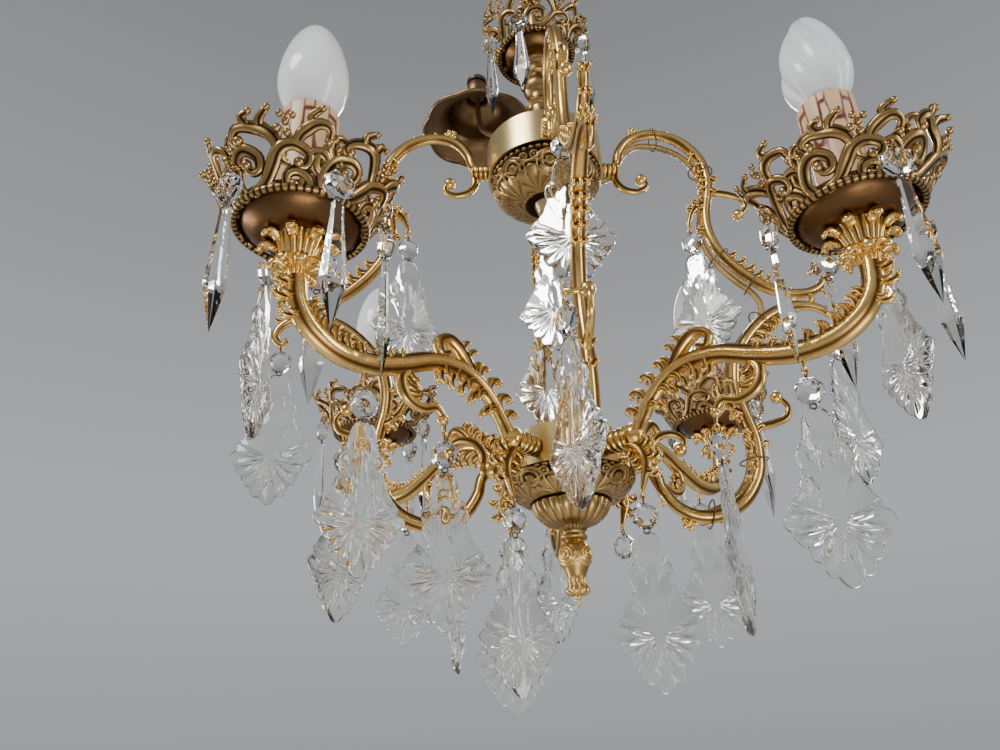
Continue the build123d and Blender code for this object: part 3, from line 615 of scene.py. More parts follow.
def leafy_cup():
    """The cup under a pan: a fluted flare, leaf tips that roll out from its rim, and a lower
    ring of leaves that fold down where the arm ends."""
    rise = np.linspace(0, 1, 36)
    outline = np.stack([5.2 + 6.4 * rise ** 1.5, -58 + 20 * rise], -1)
    body = np.vstack([[[0, -58]], outline, [[0, -38]]])

    def petals(angle, along):
        return (0.6 + 1.3 * along) * (np.abs(np.cos(9 * angle)) ** 0.6 - 1)

    made = [solid_turned(body, segments=144, relief=petals)]
    tip, fold = volute((11.0, -42.5), 68, -200, 4.6, 0.9), volute((5.6, -54), 62, -215, 4.4, 0.8)
    leaf_tip = rod(in_plane(tip), taper(len(tip), 1.3, 1.9, 1.2), 8, flat=1.7)
    folded_leaf = rod(in_plane(fold), taper(len(fold), 1.4, 2.1, 1.2), 8, flat=1.8)
    for turn in np.arange(0, 360, 45):
        made += [moved(leaf_tip, turn_z(turn)), moved(folded_leaf, turn_z(turn + 22.5))]
    return [moved(one, None, (candle_radius, 0, 0)) for one in made]


def arm_casting():
    """One candle arm in the plane of +X."""
    count = len(arm_curve)
    swell = np.interp(np.linspace(0, 1, count), [0, 0.1, 0.3, 0.55, 0.8, 1],
                      [5.5, 4.2, 4.6, 5.4, 5.6, 5.0])
    made = [rod(in_plane(arm_curve), swell, 24, grooves=4, groove=0.15)]
    made.append(ringed_ferrule(28.6, 42.0, -100.0, 6.2))
    made.append(cast_ball((46, -100), 6.6))
    made += fingers(arm_curve, 0.10, 0.24, 4, 6.4, thick=1.7, turn=200, lean=25)
    made += fingers(arm_curve, 0.13, 0.36, 5, 9.0, outward=-1, thick=1.8, turn=150, fan=2.6)
    made += fingers(arm_curve, 0.66, 0.86, 6, 7.4, thick=1.8, turn=150, fan=2.6)
    made += fingers(arm_curve, 0.52, 0.60, 3, 5.0, thick=1.5, turn=140)
    made += fingers(arm_curve[::-1], 0.05, 0.12, 3, 6.0, thick=1.6, turn=170, lean=20)
    crest = [(74, -72), (82, -62), (91, -56.5)]
    made.append(scroll(crest + [(98, -60), (96, -66), (91, -64)], 3.0, 3.4, 1.8, flat=1.5))
    made += fingers(smooth_curve(crest), 0.1, 0.6, 3, 5.0, thick=1.4, turn=170)
    branch = [(115, -79), (121, -88), (118, -96.5), (109, -99.5), (100, -97), (94.5, -101)]
    made.append(scroll(branch, 2.6, 3.2, 1.8, grooves=3))
    branch = smooth_curve(branch)
    made += fingers(branch, 0.10, 0.50, 4, 5.0, outward=-1, fan=1.6, thick=1.4, turn=190)
    made.append(cast_ball((95, -102.5), 3.0))
    made.append(scroll([(94.5, -104), (94, -108.3)], 1.3, 1.1, 0.8))
    made.append(eye(inner_eye))
    made.append(scroll([(142, -90), (142, -95.5)], 1.2, 1.0, 0.7))
    made.append(eye(outer_hook))
    drop = [(43, -104), (49, -109), (52, -117), (49.5, -125), (47, -131.5)]
    made.append(scroll(drop, 3.4, 3.4, 1.0, grooves=3, flat=1.25))
    drop = smooth_curve(drop)
    made += fingers(drop, 0.05, 0.6, 4, 4.8, fan=2.4, thick=1.6, turn=190)
    made += fingers(drop, 0.05, 0.5, 3, 4.2, outward=-1, fan=2.4, thick=1.5, turn=190)
    made.append(eye(root_eye))
    made += bud((48, -106), 2.6)
    made += leafy_cup()
    return made


arm_parts = arm_casting()
for number, azimuth in enumerate(arm_azimuths, start=1):
    piece(f"candle_arm_{number}_casting", [moved(one, turn_z(azimuth)) for one in arm_parts],
          polished_brass, stands_for=[f"candle_arm_{number}"])

# %% [markdown]
# ## Pans
# A pan is a smooth dish with an openwork gallery round it. The gallery is drawn flat, as
# strokes over the length of its wall, and is then wrapped round a cone that flares upward.

# %% Galleries
def wrapped_on_cone(stroke, foot, height, reach, flare, bulge=0.0):
    """A flat stroke (length, rise) on a flared wall: radius = foot + flare (rise / reach)^1.15,
    angle = length / foot. Gives the path and the outward direction along it."""
    angle = stroke[:, 0] / foot
    share = np.clip(stroke[:, 1] / reach, 0, 1.3)
    radius = foot + flare * share ** 1.15 + bulge
    path = np.stack([radius * np.cos(angle), radius * np.sin(angle),
                     height + middle + stroke[:, 1]], -1)
    outward = np.stack([np.cos(angle), np.sin(angle), np.full(len(angle), -0.35)], -1)
    return path, unit(outward)


# one motif of the openwork: strokes as (points, thick at first, widest, at last)
motif_strokes = [
    ([(-19, 0), (-21.5, 7), (-18, 14.5), (-11.5, 17.5), (-6.5, 14.5), (-7, 9.5), (-11, 8.8),
      (-12.4, 12)], 2.6, 3.2, 1.9),
    ([(19, 0), (17, 5), (12, 8), (7, 6.5), (6, 2.6), (9, 1.2)], 2.3, 2.9, 1.7),
    ([(-13, 1), (-6, 3.5), (-1, 9), (3.5, 15), (10, 17.5), (15.5, 14.5), (15, 10), (11, 10)],
     2.4, 3.3, 1.9),
    ([(3.5, 15), (1, 20), (-4, 24.5), (-10.5, 25.5), (-14.5, 22.5), (-12.5, 19.5)],
     2.3, 3.2, 1.8),
    ([(10, 17), (12, 22), (17, 25.5), (22, 24), (22.6, 20)], 2.2, 3.0, 1.6),
    ([(15, 14), (20, 15.5), (24, 12.5), (23, 8.5)], 2.0, 2.6, 1.5),
    ([(-4, 24.5), (-3, 28), (0.5, 30)], 1.8, 2.4, 1.5),
    ([(-8, 25.6), (-9, 29), (-6.5, 31)], 1.8, 2.3, 1.4),
    ([(16, 25), (15, 28.5), (18, 30.5)], 1.8, 2.2, 1.4),
    ([(-21, 7), (-24.5, 11), (-23, 16.5), (-19.5, 16)], 1.7, 2.5, 1.3),
    ([(-1, 9), (-4.5, 6.5), (-3, 2.5), (0.5, 2.5)], 1.6, 2.3, 1.2),
    ([(5, 15.5), (4.5, 11.5), (7.5, 9.8)], 1.6, 2.2, 1.2),
    ([(-18, 14.5), (-20.5, 19), (-18.5, 23.5), (-15.5, 24)], 1.8, 2.5, 1.3),
    ([(13, 1), (14.5, 4.5), (18, 7)], 1.6, 2.2, 1.2),
    ([(24, 13), (27, 15.5), (26.5, 19.5)], 1.7, 2.2, 1.3),
]
# beads of it: (length, rise, radius)
motif_balls = [
    (-12.2, 12, 3.0), (9.6, 2.4, 2.6), (11.4, 11, 2.9), (-12.2, 20.8, 2.8), (22.2, 19.4, 2.5),
    (22.6, 9.2, 2.3), (0.8, 30.2, 1.9), (-6.2, 31.2, 1.8), (18.4, 30.7, 1.8),
    (3.6, 22.2, 2.3), (6.6, 24.6, 2.2), (7.0, 20.8, 2.2), (4.9, 27.0, 2.0), (8.8, 27.4, 1.9),
    (-17.5, 19.5, 2.1), (-19.5, 22.0, 2.0), (-20.6, 18.6, 2.0),
]
motif_length, motif_rise = 44.0, 27.0      # the size at which a motif is drawn


def gallery(foot, height, reach, flare, motifs, size=1.0):
    """The whole openwork of one pan about the origin, foot ring included. The wall waves in
    and out by a sine of the length, more towards its top."""
    share_of_foot = 2 * np.pi * foot / motifs
    stretch = np.array([share_of_foot / motif_length, reach / motif_rise])

    def on_wall(flat_points):
        wave = 1.6 * np.sin(flat_points[:, 0] * 0.45) * np.clip(flat_points[:, 1] / reach, 0, 1)
        return wrapped_on_cone(flat_points, foot, height, reach, flare, wave)

    made = []
    for number in range(motifs):
        shift = number * share_of_foot
        lively = 0.97 + 0.09 * np.sin(2.3 * number + 0.7)
        for points, first, widest, last in motif_strokes:
            stroke = smooth_curve(np.array(points) * [1, lively] * stretch, 1.3) + [shift, 0]
            path, outward = on_wall(stroke)
            thickness = taper(len(path), first, widest, last) * 1.12 * size
            made.append(rod(path, thickness, 12, outward, flat=0.62, grooves=3, groove=0.30))
        for length, rise, radius in motif_balls:
            spot = np.array([[length, rise * lively]]) * stretch + [shift, 0]
            made.append(ball(on_wall(spot)[0][0], radius * 0.86 * size, 10))
    lap = np.linspace(0, 2 * np.pi, 20, endpoint=False)
    ring = np.stack([foot + 1.0 + 1.7 * np.cos(lap), height + 0.6 + 1.7 * np.sin(lap)], -1)
    made.append(turned(ring, segments=120,
                       relief=lambda angle, along: 0.3 * np.abs(np.sin(30 * angle))))
    return made


def prism_eye(azimuth, place, radius, height):
    """The pierced tab on a gallery from which a prism's wire hangs."""
    lap = np.linspace(0, 2 * np.pi, 25)
    level = height + middle
    path = np.stack([radius + 1.5 * np.sin(lap), 0 * lap, level + 1.5 * np.cos(lap)], -1)
    tab = rod([[radius - 6, 0, level + 3], [radius - 2, 0, level + 2]], [1.4, 0.9], 8)
    return [moved(one, turn_z(azimuth), (*place, 0)) for one in (rod(path, 0.6, 8), tab)]


# azimuths of the eyes on each pan; a fifth eye has lost its prism
pan_prisms = {1: [18, 126, 306], 2: [54, 198, 342], 3: [18, 90, 234, 306, 126],
              4: [18, 90, 162, 270, 54]}
crown_prisms = [67.5, 202.5, 247.5, 337.5]
pan_eye, crown_eye = (39.0, -23.0), (37.0, 222.0)
pan_openwork = gallery(28.1, -32.0, 25.0, 15.5, 5)
openwork = []
for number, place in enumerate(candle_places, start=1):
    turn = turn_z(arm_azimuths[number - 1] + 36 * (number % 2))
    openwork += [moved(one, turn, (place[0], place[1], 0)) for one in pan_openwork]
    for azimuth in pan_prisms[number]:
        openwork += prism_eye(azimuth, place[:2], *pan_eye)
    if number in (2, 4):
        piece(f"pan_openwork_{number // 2}", openwork, antique_brass, stands_for=["pan_galleries"])
        openwork = []

crown = gallery(26.1, 213.0, 25.0, 12.0, 5, 0.9)
for azimuth in crown_prisms:
    crown += prism_eye(azimuth, (0, 0), *crown_eye)
piece("crown_openwork", crown, antique_brass, stands_for=["crown_gallery"])

dish_outline = smooth_curve([
    (7, -35.2), (7, -37.4), (13, -38.2), (19, -37.2), (24.5, -33.6), (27.6, -29.6), (29.3, -28.2),
    (29.2, -27.0), (27.6, -27.6), (24, -31.2), (18.5, -34.6), (12, -35.6), (7.8, -35.4)], 0.8)
piece("pan_dishes", [turned(dish_outline, place[:2], 96) for place in candle_places], dish_brass,
      stands_for=["drip_dishes"])
crown_outline = dish_outline * [0.9, 1.0] + [0, 245.5]
crown_outline[:, 0] = np.maximum(crown_outline[:, 0], 6.4)
piece("crown_pan", [turned(crown_outline, (0, 0), 96)], dish_brass, stands_for=["crown_dish"])

# %% [markdown]
# ## Hubs and stem
# The domes under both hubs carry shells between scrolls. The relief is a height added along
# the radius: a fan of ribs about the foot of each shell, and rings about each scroll's eye.

# %% Domes, cap and finial
def shells(count, depth, width, tall):
    """Height over the wall: a fan |cos 6 phi| inside each shell, a ring and a ribbed heart
    between shells, a scroll on either side of the shell's foot, and beads under the rim."""
    def ring(u, v, radius, wide):
        return np.exp(-((np.hypot(u, v) - radius) / wide) ** 2)

    def relief(angle, along):
        sector = (angle * count / (2 * np.pi)) % 1 - 0.5
        u = sector * width
        v = (along - 0.12) * tall
        reach = np.hypot(u, v)
        phi = np.arctan2(u, np.maximum(v, 1e-6))
        edge = 0.50 * tall * (1 + 0.09 * np.abs(np.cos(6 * phi)))
        ribs = 0.35 + 0.65 * np.abs(np.cos(6 * phi)) ** 0.7
        fan = ribs / (1 + np.exp((reach - edge) * 3)) * (v > 0)
        border = ring(u, v, 0.60 * tall, 0.9) * (v > 0)
        away_u, away_v = (np.abs(sector) - 0.5) * width, (along - 0.68) * tall
        away = np.hypot(away_u, away_v)
        arch = ring(away_u, away_v, 5.0, 0.9) + ring(away_u, away_v + 1.5, 8.2, 0.8) * (
            np.abs(sector) > 0.15)
        heart = (0.4 + 0.6 * np.abs(np.sin(away_u * 2.6))) / (1 + np.exp((away - 2.9) * 4))
        curl = ring(np.abs(u) - 3.2, (along - 0.80) * tall, 2.1, 0.6) + ring(
            np.abs(u) - 3.2, (along - 0.80) * tall, 0, 0.8)
        bud = np.abs(np.cos(2.5 * np.arctan2(away_v + 0.3 * tall, away_u))) * np.exp(
            -(np.hypot(away_u, away_v + 0.36 * tall) / 2.4) ** 2)
        beads = np.abs(np.sin(angle * count * 3)) * np.exp(-((along - 0.94) / 0.03) ** 2)
        fade = np.clip(along / 0.04, 0, 1) * np.clip((1 - along) / 0.03, 0, 1)
        return depth * fade * np.clip(np.maximum.reduce([
            fan, border * 0.8, arch, heart * 0.9, curl * 0.9, bud, beads * 0.8]), 0, 1.2)
    return relief


def dome(rows, segments, relief, low=0.0):
    """A solid dome from a given outline, with relief over its curved wall."""
    curve = smooth_curve(rows, 0.45)
    body = np.vstack([[[0, curve[0, 1]]], curve, [[0, curve[-1, 1]]]])
    return solid_turned(body, segments=segments, relief=relief, low=low)


upper_dome_rows = [(9.2, 77.4), (14, 77.8), (20, 79), (27, 82), (32, 87), (35, 93), (36.4, 100.2)]
lower_dome_rows = [(19, -127.2), (25, -125.8), (30, -122.5), (34, -118), (36.4, -112.9)]
piece("upper_dome_relief", [dome(upper_dome_rows, 400, shells(8, 1.7, 24, 37))],
      antique_brass, stands_for=["upper_hub_dome"])
piece("lower_dome_relief", [dome(lower_dome_rows, 400, shells(8, 1.7, 24, 26))],
      antique_brass, stands_for=["lower_hub_dome"])


def gadroons(count, depth):
    """Round ribs: depth |sin(count a / 2)|, to a low power so that they are full."""
    return lambda angle, along: depth * np.abs(np.sin(count * angle / 2)) ** 0.55 * np.clip(
        along * 2.5, 0, 1) ** 0.6


cap_rows = [(6.8, -143.2), (7.4, -141.0), (9.4, -139.6), (14, -137.6), (18.6, -133),
            (20.4, -128.6), (20.0, -127.0)]
piece("gadrooned_cap", [dome(cap_rows, 288, gadroons(22, 1.5), 0.25)],
      antique_brass, stands_for=["lower_hub_cap"])


def finial_eyes(angle, along):
    """Four bosses of rings about a heart on the ball, swept lines below, a fluted foot."""
    u = (((angle * 4 / (2 * np.pi)) % 1) - 0.5) * 14.5
    v = (along - 0.60) * 46
    away = np.hypot(u, v)
    rings = sum(np.exp(-((away - radius) / wide) ** 2)
                for radius, wide in ((4.2, 0.55), (2.4, 0.5), (0, 0.9)))
    swept = sum(np.exp(-((np.hypot(u, v - 2.4) - radius) / 0.6) ** 2) * (v < 1)
                for radius in (7.4, 9.4))
    foot = np.abs(np.sin(4 * angle)) * np.clip((0.30 - along) / 0.05, 0, 1) * np.clip(
        along / 0.04, 0, 1)
    return 0.75 * np.maximum(rings, 0.8 * swept * (along > 0.2)) + 0.8 * foot


finial_curve = smooth_curve([
    (2.4, -176.8), (4.8, -176.2), (6.0, -174.6), (4.6, -171), (4.6, -168), (6.4, -163.5),
    (8.5, -158.5), (8.8, -154.5), (7.6, -150.6), (5.0, -148.4), (7.2, -147.0), (7.6, -145.6),
    (6.2, -144.6), (7.0, -143.2)], 0.3)
finial_body = solid_turned(np.vstack([[[0, -176.9]], finial_curve, [[0, -143.1]]]),
                           segments=160, relief=finial_eyes, low=0.5)
hook = moved(eye((0.0, -180.15), 2.4, 1.0), turn_z(90))
neck = rod([[0, 0, middle - 176], [0, 0, middle - 178.4]], 1.7, 12)
piece("finial_drop", [finial_body, neck, hook], polished_brass, stands_for=["finial"])

# %% Stem
baluster_curve = smooth_curve([
    (10.8, 125.1), (11.2, 127), (9.4, 129), (8.6, 131), (8.3, 137), (8.0, 144), (8.8, 148),
    (10.2, 149.6), (8.6, 151.4), (7.3, 153), (7.0, 160), (7.6, 163), (10.0, 165.2), (7.8, 167.4),
    (7.0, 170), (7.4, 174), (10.0, 178), (11.0, 182), (10.0, 186), (7.6, 189.6), (7.2, 192),
    (9.6, 194.2), (7.6, 196.4), (8.2, 200), (10.6, 203.4), (11.4, 206.2), (11.2, 207.9)], 0.5)


def sleeve_texture(angle, along):
    """A chased pattern of small leaves on the lower sleeve of the stem."""
    leaves = np.abs(np.sin(6 * angle)) * np.abs(np.sin(along * 95))
    return 0.7 * leaves * (along > 0.05) * (along < 0.20)


stem_outline = np.vstack([baluster_curve, [[5.3, 207.9], [5.3, 125.1]]])
piece("turned_stem", [turned(stem_outline, segments=96, relief=sleeve_texture,
                             high=lambda angle, along: 0.75 + 0.25 * np.cos(along * 60))],
      antique_brass, stands_for=["stem_baluster"])

# %% [markdown]
# ## Candles and bulbs
# The cream sleeves carry moulded drips: fingers of wax that hang from the top edge, each
# raised a little and outlined. One of the bulbs has a spiral glass, the others are smooth.

# %% Candle sleeves
def sleeve(centre, seed):
    """A tube whose outer wall has drips. drip(a) is how far down the wax has run at angle a,
    and gap is the distance to the drip's outline, measured square to it."""
    radius, top = 13.0, 34.0
    rng = np.random.default_rng(seed)
    heights = np.concatenate([np.linspace(-33.9, 2, 12), np.linspace(2.6, 34.0, 62)])
    outer = np.stack([np.full(len(heights), radius), heights], -1)
    outline = np.vstack([
        outer, [[12.8, 34.4], [12.35, 34.3], [12.3, 20], [12.3, -20], [12.3, -33.9]]])
    segments = 176
    angle = np.linspace(0, 2 * np.pi, segments, endpoint=False)
    middles = (np.arange(7) + rng.uniform(-0.12, 0.12, 7)) * 2 * np.pi / 7
    lengths = rng.uniform(12, 26, 7)
    away = np.abs((angle[:, None] - middles + np.pi) % (2 * np.pi) - np.pi) * radius
    finger = np.sqrt(np.clip(1 - (away / 3.5) ** 2, 0, 1))
    drip = 5.0 + (lengths * finger ** 0.6).max(axis=1)
    below = top - outline[:, 1]
    slope = np.gradient(drip, angle[1] * radius)
    gap = (drip[None, :] - below[:, None]) / np.sqrt(1 + slope[None, :] ** 2)
    on_wall = (np.arange(len(outline)) < len(heights))[:, None]
    raised = 0.75 / (1 + np.exp(-gap * 2.5)) * on_wall
    line = np.clip(2.0 * np.exp(-((gap + 0.2) / 0.95) ** 2), 0, 1) * on_wall
    return turned(outline, centre, segments, relief=lambda a, b: raised, high=lambda a, b: line)


first_seed = 3
piece("wax_sleeves", [sleeve(place[:2], first_seed + n) for n, place in enumerate(candle_places)],
      wax_plastic, stands_for=["candle_sleeves"])

# %% Bulbs
bulb_curve = smooth_curve([
    (6.4, 6.2), (7, 8), (7, 28), (8.2, 33), (11.8, 38.5), (15.4, 45.5), (17.2, 52.5),
    (17.5, 58), (16.6, 67), (14.0, 77.5), (10.2, 86.5), (5.6, 93), (2.2, 95.5)], 0.7)
bulb_outline = np.vstack([[[0, 6.0]], bulb_curve, [[0, 96.0]]])


def spiral(angle, along):
    """Six flutes that wind about the glass, deepest at its widest."""
    wound = np.abs(np.sin(3 * angle + 7 * along)) ** 0.7 - 1
    return 2.3 * wound * np.clip((along - 0.3) / 0.2, 0, 1) * np.clip((1 - along) / 0.15, 0, 1)


def plain(angle, along):
    """Next to nothing: a smooth glass is out of round by a hair."""
    return 0.05 * np.sin(2 * angle)


spiral_bulb = 4
for number, place in enumerate(candle_places, start=1):
    flutes, glass = (spiral, frosted_glass) if number == spiral_bulb else (plain, opal_glass)
    piece(f"candle_bulb_{number}", [solid_turned(bulb_outline, place[:2], 144, flutes)], glass,
          body=joints[f"bulb_{number}_turn"]["child"], stands_for=[f"bulb_{number}"])

# %% [markdown]
# ## Cut glass
# A pendant is an octagon bead over a fluted drop. The drop's outline is drawn as a distance
# from its heart for each direction, with eleven lobes cut into its lower edge. Each lobe is
# the end of a flute that runs out from the heart, and both faces are cut alike.

# %% Shapes of the glass
# the drop's edge: how far down, and how far out, as shares of its height and half width
drop_edge = np.array([
    (0.0, 0.10), (0.02, 0.20), (0.057, 0.26), (0.128, 0.31), (0.19, 0.375), (0.205, 0.36),
    (0.24, 0.47), (0.285, 0.52), (0.327, 0.49), (0.345, 0.475), (0.384, 0.49), (0.455, 0.57),
    (0.51, 0.69), (0.56, 0.85), (0.572, 0.86), (0.60, 0.95), (0.64, 1.0), (0.68, 0.97),
    (0.71, 0.92), (0.75, 0.79), (0.79, 0.72), (0.83, 0.62), (0.87, 0.56), (0.90, 0.44),
    (0.935, 0.37), (0.955, 0.27), (0.98, 0.19), (1.0, 0.03)])
drop_lobes = [0, 24, 47, 70, 94, 118, 180]      # degrees from straight down, lobe by lobe
drop_heart = 0.665                              # how far down the flutes meet
bead_tall, drop_tall, drop_wide = 18.9, 79.0, 47.0


def fluted_drop(top, tall, wide):
    """Rings at shares s of the way from the heart to the drawn edge. Half the thickness is
    edge + swell (1 - s^2.4) + ridges between the flutes, on both faces."""
    angle = np.linspace(-180, 180, 288, endpoint=False)
    edge_x = np.concatenate([drop_edge[:, 1], -drop_edge[::-1, 1]]) * wide / 2
    edge_z = (drop_heart - np.concatenate([drop_edge[:, 0], drop_edge[::-1, 0]])) * tall
    bearing = np.degrees(np.arctan2(edge_x, -edge_z))
    order = np.argsort(bearing)
    reach = np.interp(angle, bearing[order], np.hypot(edge_x, edge_z)[order], period=360)
    lobe = np.interp(np.abs(angle), drop_lobes, np.arange(len(drop_lobes)))
    low = np.abs(angle) < drop_lobes[-2]
    scallop = np.abs(np.sin(np.pi * (lobe + 0.5))) ** 0.75
    reach = np.where(low, reach - 2.3 * (1 - scallop), reach)
    share = np.array([0.06, 0.14, 0.22, 0.30, 0.38, 0.46, 0.54, 0.62, 0.70, 0.78, 0.85, 0.91,
                      0.955, 0.985, 1.0])
    s = share[:, None]
    heart = top - drop_heart * tall
    x = s * reach * np.sin(np.radians(angle))
    down = heart - s * reach * np.cos(np.radians(angle))
    star = np.clip((s - 0.18) / 0.12, 0, 1)
    ridge = np.where(low, 1 - scallop, 0.0)[None, :] * star
    t = (top - down) / tall
    notch = np.where(low, 0, 1)[None, :] * (
        np.exp(-((t - 0.2) / 0.02) ** 2) + np.exp(-((t - 0.34) / 0.02) ** 2))
    thumb = np.exp(-((t - 0.275) / 0.035) ** 2 - ((np.abs(x) - 5.0) / 3.2) ** 2) * (1 - low)
    panel = np.exp(-((np.abs(x) - 3.6 - 9 * np.clip(t - 0.4, 0, 1)) / 0.8) ** 2) * (
        t > 0.36) * (1 - star * low)
    half = 1.35 + 1.9 * (1 - s ** 2.4) + 1.5 * ridge * (1.35 - s) - 0.9 * star * low * (
        1 - 0.55 * s ** 2) - 0.8 * notch - 1.3 * thumb + 0.6 * panel * (1 - s)
    half = np.maximum(half, 0.5)
    front = np.stack([x, half, down], -1)
    back = np.stack([x, -half, down], -1)[::-1]
    return capped(np.concatenate([front, back]), [0, 3.2, heart], [0, -3.2, heart])


def octagon(top, apothem=6.6, thick=8.0):
    """A bead with an octagonal table on each face and two tiers of facets between."""
    corner = np.radians(np.arange(8) * 45 + 22.5)
    reach, centre = apothem / np.cos(np.radians(22.5)), top - apothem
    tiers = [(0.50, 0.5), (0.80, 0.36), (1.0, 0.10), (1.0, -0.10), (0.80, -0.36), (0.50, -0.5)]
    rings = np.stack([
        np.stack([reach * size * np.cos(corner), np.full(8, thick * depth),
                  centre + reach * size * np.sin(corner)], -1)
        for size, depth in tiers])
    return capped(rings, [0, thick / 2, centre], [0, -thick / 2, centre])


def spear(top, tall=60.0, wide=12.0, thick=6.0):
    """A long prism with six sides, widest two thirds of the way down, ending in a point."""
    corner = np.radians([0, 50, 130, 180, 230, 310])
    drops = [(0.0, 0.34), (1.5, 0.50), (8, 0.54), (24, 0.80), (36, 1.0), (38, 1.0),
             (48, 0.58), (56, 0.20)]
    widest_sine = 0.77      # of the corner at 50 degrees
    rings = np.stack([
        np.stack([wide / 2 * size * np.cos(corner),
                  thick / 2 * size / widest_sine * np.sin(corner), np.full(6, top - drop)], -1)
        for drop, size in drops])
    return capped(rings, [0, 0, top], [0, 0, top - tall])


def hanging_wire():
    """The ring through the eye, and the pin that joins the bead to the drop."""
    lap = np.linspace(0, 2 * np.pi, 25)
    ring = np.stack([0 * lap, 1.6 * np.sin(lap), -1.6 + 1.6 * np.cos(lap)], -1)
    loop = np.stack([1.5 * np.sin(lap), 0 * lap, -17.9 + 1.6 * np.cos(lap)], -1)
    return [rod(ring, 0.35, 8, side=(1, 0, 0)), rod([[0, 0, -2.6], [0, 0, -5.2]], 0.35, 8),
            rod(loop, 0.35, 8)]


def facing_of(node, eye_height):
    """The azimuth a pendant's glass faces: the thinnest direction of the part below its bead."""
    mesh = nodes[node].data
    points = np.empty(len(mesh.vertices) * 3)
    mesh.vertices.foreach_get("co", points)
    points = points.reshape(-1, 3) / MM
    plate = points[points[:, 2] < eye_height - 40][:, :2]
    _, vectors = np.linalg.eigh(np.cov((plate - plate.mean(axis=0)).T))
    return np.degrees(np.arctan2(vectors[1, 0], vectors[0, 0]))


# %% Hanging the glass
bead, wires = octagon(-3.7), hanging_wire()
for key, joint in joints.items():
    if not key.startswith("swing_"):
        continue
    name = "pendant_" + key[len("swing_"):]
    at = np.array(joint["pos_m"]) / MM
    turn = turn_z(facing_of(name, at[2]) + 90)
    tall = at[2] - bead_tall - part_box(name)[0].z / MM
    drop = fluted_drop(-bead_tall, tall, tall * drop_wide / drop_tall)
    piece(name + "_glass", [moved(one, turn, at) for one in (drop, bead)], crystal,
          body=joint["child"], stands_for=[name], flat=(1,))
    piece(name + "_wire", [moved(one, turn, at) for one in wires], dark_wire,
          body=joint["child"], stands_for=[name])

spear_glass, spear_wires = [], []
point_drop = spear(-bead_tall)
hung = [(place[0], place[1], pan_eye, azimuth)
        for number, place in enumerate(candle_places, start=1)
        for azimuth in pan_prisms[number][:4]]
hung += [(0, 0, crown_eye, azimuth) for azimuth in crown_prisms]
for x, y, (radius, height), azimuth in hung:
    around = np.radians(azimuth)
    at = np.array([x + radius * np.cos(around), y + radius * np.sin(around), height + middle])
    turn = turn_z(azimuth + 90)
    spear_glass += [moved(one, turn, at) for one in (bead, point_drop)]
    spear_wires += [moved(one, turn, at) for one in wires]
loose = turn_z(45) @ [root_eye[0], 0, 0] + [0, 0, root_eye[1] + middle]
spear_glass.append(moved(bead, turn_z(135), loose))
spear_wires += [moved(one, turn_z(135), loose) for one in wires[:2]]
piece("spear_prisms", spear_glass, crystal, stands_for=["small_prisms"],
      flat=range(len(spear_glass)))
piece("spear_wires", spear_wires, dark_wire, stands_for=["small_prisms"])

# %% [markdown]
# ## Ceiling canopy
# The canopy hangs loose on the lead behind the stem, mouth down. Its rim has eight soft
# scallops, so the wall is a turned one whose radius waves more and more towards the mouth.

# %% Canopy
canopy_low, canopy_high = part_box("ceiling_canopy")
canopy_at = np.array([canopy_low.x + canopy_high.x, canopy_low.y + canopy_high.y]) / 2 / MM
mouth = canopy_low.z / MM - middle
canopy_outer = smooth_curve([
    (43, 0.6), (43.8, 1.8), (42.5, 3.4), (38, 5.5), (31, 9), (26, 14), (23.5, 20),
    (20.5, 26), (15, 31), (10, 34), (8.4, 38), (8.2, 44), (7.0, 49.5)], 0.8)
canopy_wall = np.vstack([canopy_outer, canopy_outer[::-1] - [1.6, 0.5]])
canopy_wall[:, 0] = np.maximum(canopy_wall[:, 0], 4.6)
canopy_wall[:, 1] = np.maximum(canopy_wall[:, 1], 0.1) + mouth


def scallops(angle, along):
    """Waves of eight lobes, 2.2 mm deep at the mouth and gone a sixth of the way up."""
    share = np.clip(1 - np.minimum(along, 1 - along) / 0.16, 0, 1)
    return share * 2.2 * (np.abs(np.cos(4 * angle)) - 1)


bell = turned(canopy_wall, canopy_at, 160, scallops, high=lambda a, b: 0.6 + 0 * a)
piece("canopy_bell", [bell], canopy_brass, body="canopy", stands_for=["ceiling_canopy"])

# %% [markdown]
# ## Lead and flex
# The supply lead rises from the upper hub and goes into the canopy. A thin gold flex runs
# from hub to hub along the right rib, where wire ties hold it. Each is one soft curve with
# a few points, as a lead bends, and its thickness is the curve's own bevel.

# %% Lead and flex
lead_points = [(-20, 19, 125), (-20, 19, 141), (-25, 23, 159), (-36, 38, 175), (-44, 50, 195),
               (-44, 50, 225.7)]
flex_side = 7.2      # how far beside the rib's middle plane the flex runs
flex_upper = [
    (39, 103), (46, 103), (52, 119), (62, 132.5), (78, 133.5), (96, 125), (106, 110),
    (108, 90), (103, 71), (100, 54), (105, 36.5), (118, 19.5), (128, 11), (133, 0),
]
flex_lower = [(radius, -height) for radius, height in reversed(flex_upper[1:-1])]
flex_points = [(radius, flex_side, height)
               for radius, height in flex_upper + flex_lower + [(28.5, -103)]]


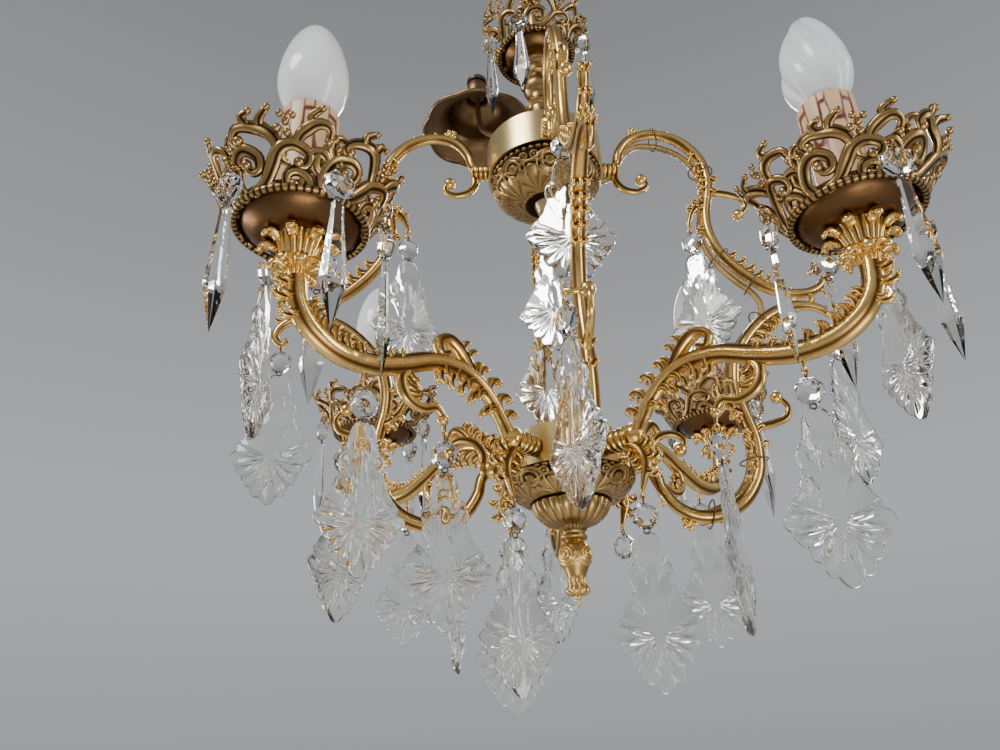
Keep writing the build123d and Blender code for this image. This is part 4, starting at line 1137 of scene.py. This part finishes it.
def flexible(name, points, diameter, material, node):
    """A smooth spline drawn towards each of its points, with a round section."""
    curve = bpy.data.curves.new(name, "CURVE")
    curve.dimensions = "3D"
    curve.bevel_depth = diameter / 2 * MM
    curve.bevel_resolution = 5
    curve.resolution_u = 10
    curve.use_fill_caps = True
    spline = curve.splines.new("NURBS")
    spline.points.add(len(points) - 1)
    for point, (x, y, height) in zip(spline.points, points):
        point.co = (x * MM, y * MM, (height + middle) * MM, 1)
    spline.order_u = 3
    spline.use_endpoint_u = True
    curve.materials.append(material)
    made = bpy.data.objects.new(name, curve)
    bpy.context.scene.collection.objects.link(made)
    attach(made, "frame")
    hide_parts(node)
    print(name, len(points), "points")


flexible("lead_to_canopy", lead_points, 4.4, brown_flex, "supply_lead")
flexible("flex_along_rib", flex_points, 4.2, gold_flex, "rib_flex")

# %% [markdown]
# ## Plain parts
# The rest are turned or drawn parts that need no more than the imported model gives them,
# so they keep their own shape and get a finish.

# %% Finishes of the plain parts
finishes = {
    satin_brass: ["upper_hub_cup", "lower_hub_cup", "dome_nut", "root_nuts", "rib_rivets",
                  "tie_rod", "hanging_loop", "stem_tube"],
    dark_plastic: ["lampholders", "canopy_cord_grip"],
    dark_wire: ["flex_ties"],
}
for finish, names in finishes.items():
    for name in names:
        nodes[name].data.materials.clear()
        nodes[name].data.materials.append(finish)

# %% [markdown]
# ## Studio
# A pale floor well away from the glass, and large soft lights. Long narrow
# lights at the sides give the brass and the facets their bright lines.

# %% Floor, wall and lights
def plane(name, corners, material):
    mesh = bpy.data.meshes.new(name)
    mesh.from_pydata(corners, [], [(0, 1, 2, 3)])
    mesh.materials.append(material)
    made = bpy.data.objects.new(name, mesh)
    bpy.context.scene.collection.objects.link(made)
    return made


pale = coated("pale_paint", (0.60, 0.60, 0.61), (0.64, 0.64, 0.64), 0.9, 1.5)
plane("floor", [(-6, -6, -1.6), (6, -6, -1.6), (6, 6, -1.6), (-6, 6, -1.6)], pale)


def soft_light(name, place, target, width, tall, watts):
    data = bpy.data.lights.new(name, "AREA")
    data.shape = "RECTANGLE"
    data.size, data.size_y, data.energy = width, tall, watts
    light = bpy.data.objects.new(name, data)
    aim = Vector(target) - Vector(place)
    turned_to_aim = aim.to_track_quat("-Z", "Y").to_matrix().to_4x4()
    light.matrix_world = Matrix.Translation(place) @ turned_to_aim
    bpy.context.scene.collection.objects.link(light)


heart = (0, 0, -0.3)
soft_light("key", (-1.5, -1.3, 1.3), heart, 1.0, 1.0, 46)
soft_light("fill", (1.7, -1.0, -0.2), heart, 0.4, 1.6, 16)
soft_light("back", (0.6, 1.6, 0.8), heart, 0.8, 0.4, 22)
soft_light("strip", (-1.5, 0.5, -0.5), heart, 0.15, 1.4, 12)
soft_light("below", (0.2, -0.9, -1.4), heart, 0.7, 0.5, 7)

world = bpy.data.worlds.new("studio")
bpy.context.scene.world = world
world.use_nodes = True
sky = world.node_tree
direction = sky.nodes.new("ShaderNodeTexCoord")
split = sky.nodes.new("ShaderNodeSeparateXYZ")
shade = sky.nodes.new("ShaderNodeValToRGB")
shade.color_ramp.elements[0].position = 0.30
shade.color_ramp.elements[0].color = (0.24, 0.24, 0.25, 1)
shade.color_ramp.elements[1].position = 1.0
shade.color_ramp.elements[1].color = (0.20, 0.20, 0.21, 1)
pale_band = shade.color_ramp.elements.new(0.62)
pale_band.color = (0.60, 0.61, 0.63, 1)
to_share = sky.nodes.new("ShaderNodeMath")
to_share.operation = "MULTIPLY_ADD"
to_share.inputs[1].default_value = 0.5
to_share.inputs[2].default_value = 0.5
sky.links.new(direction.outputs["Generated"], split.inputs[0])
sky.links.new(split.outputs["Z"], to_share.inputs[0])
sky.links.new(to_share.outputs[0], shade.inputs["Fac"])
sky.links.new(shade.outputs["Color"], sky.nodes["Background"].inputs["Color"])
sky.nodes["Background"].inputs["Strength"].default_value = 0.8
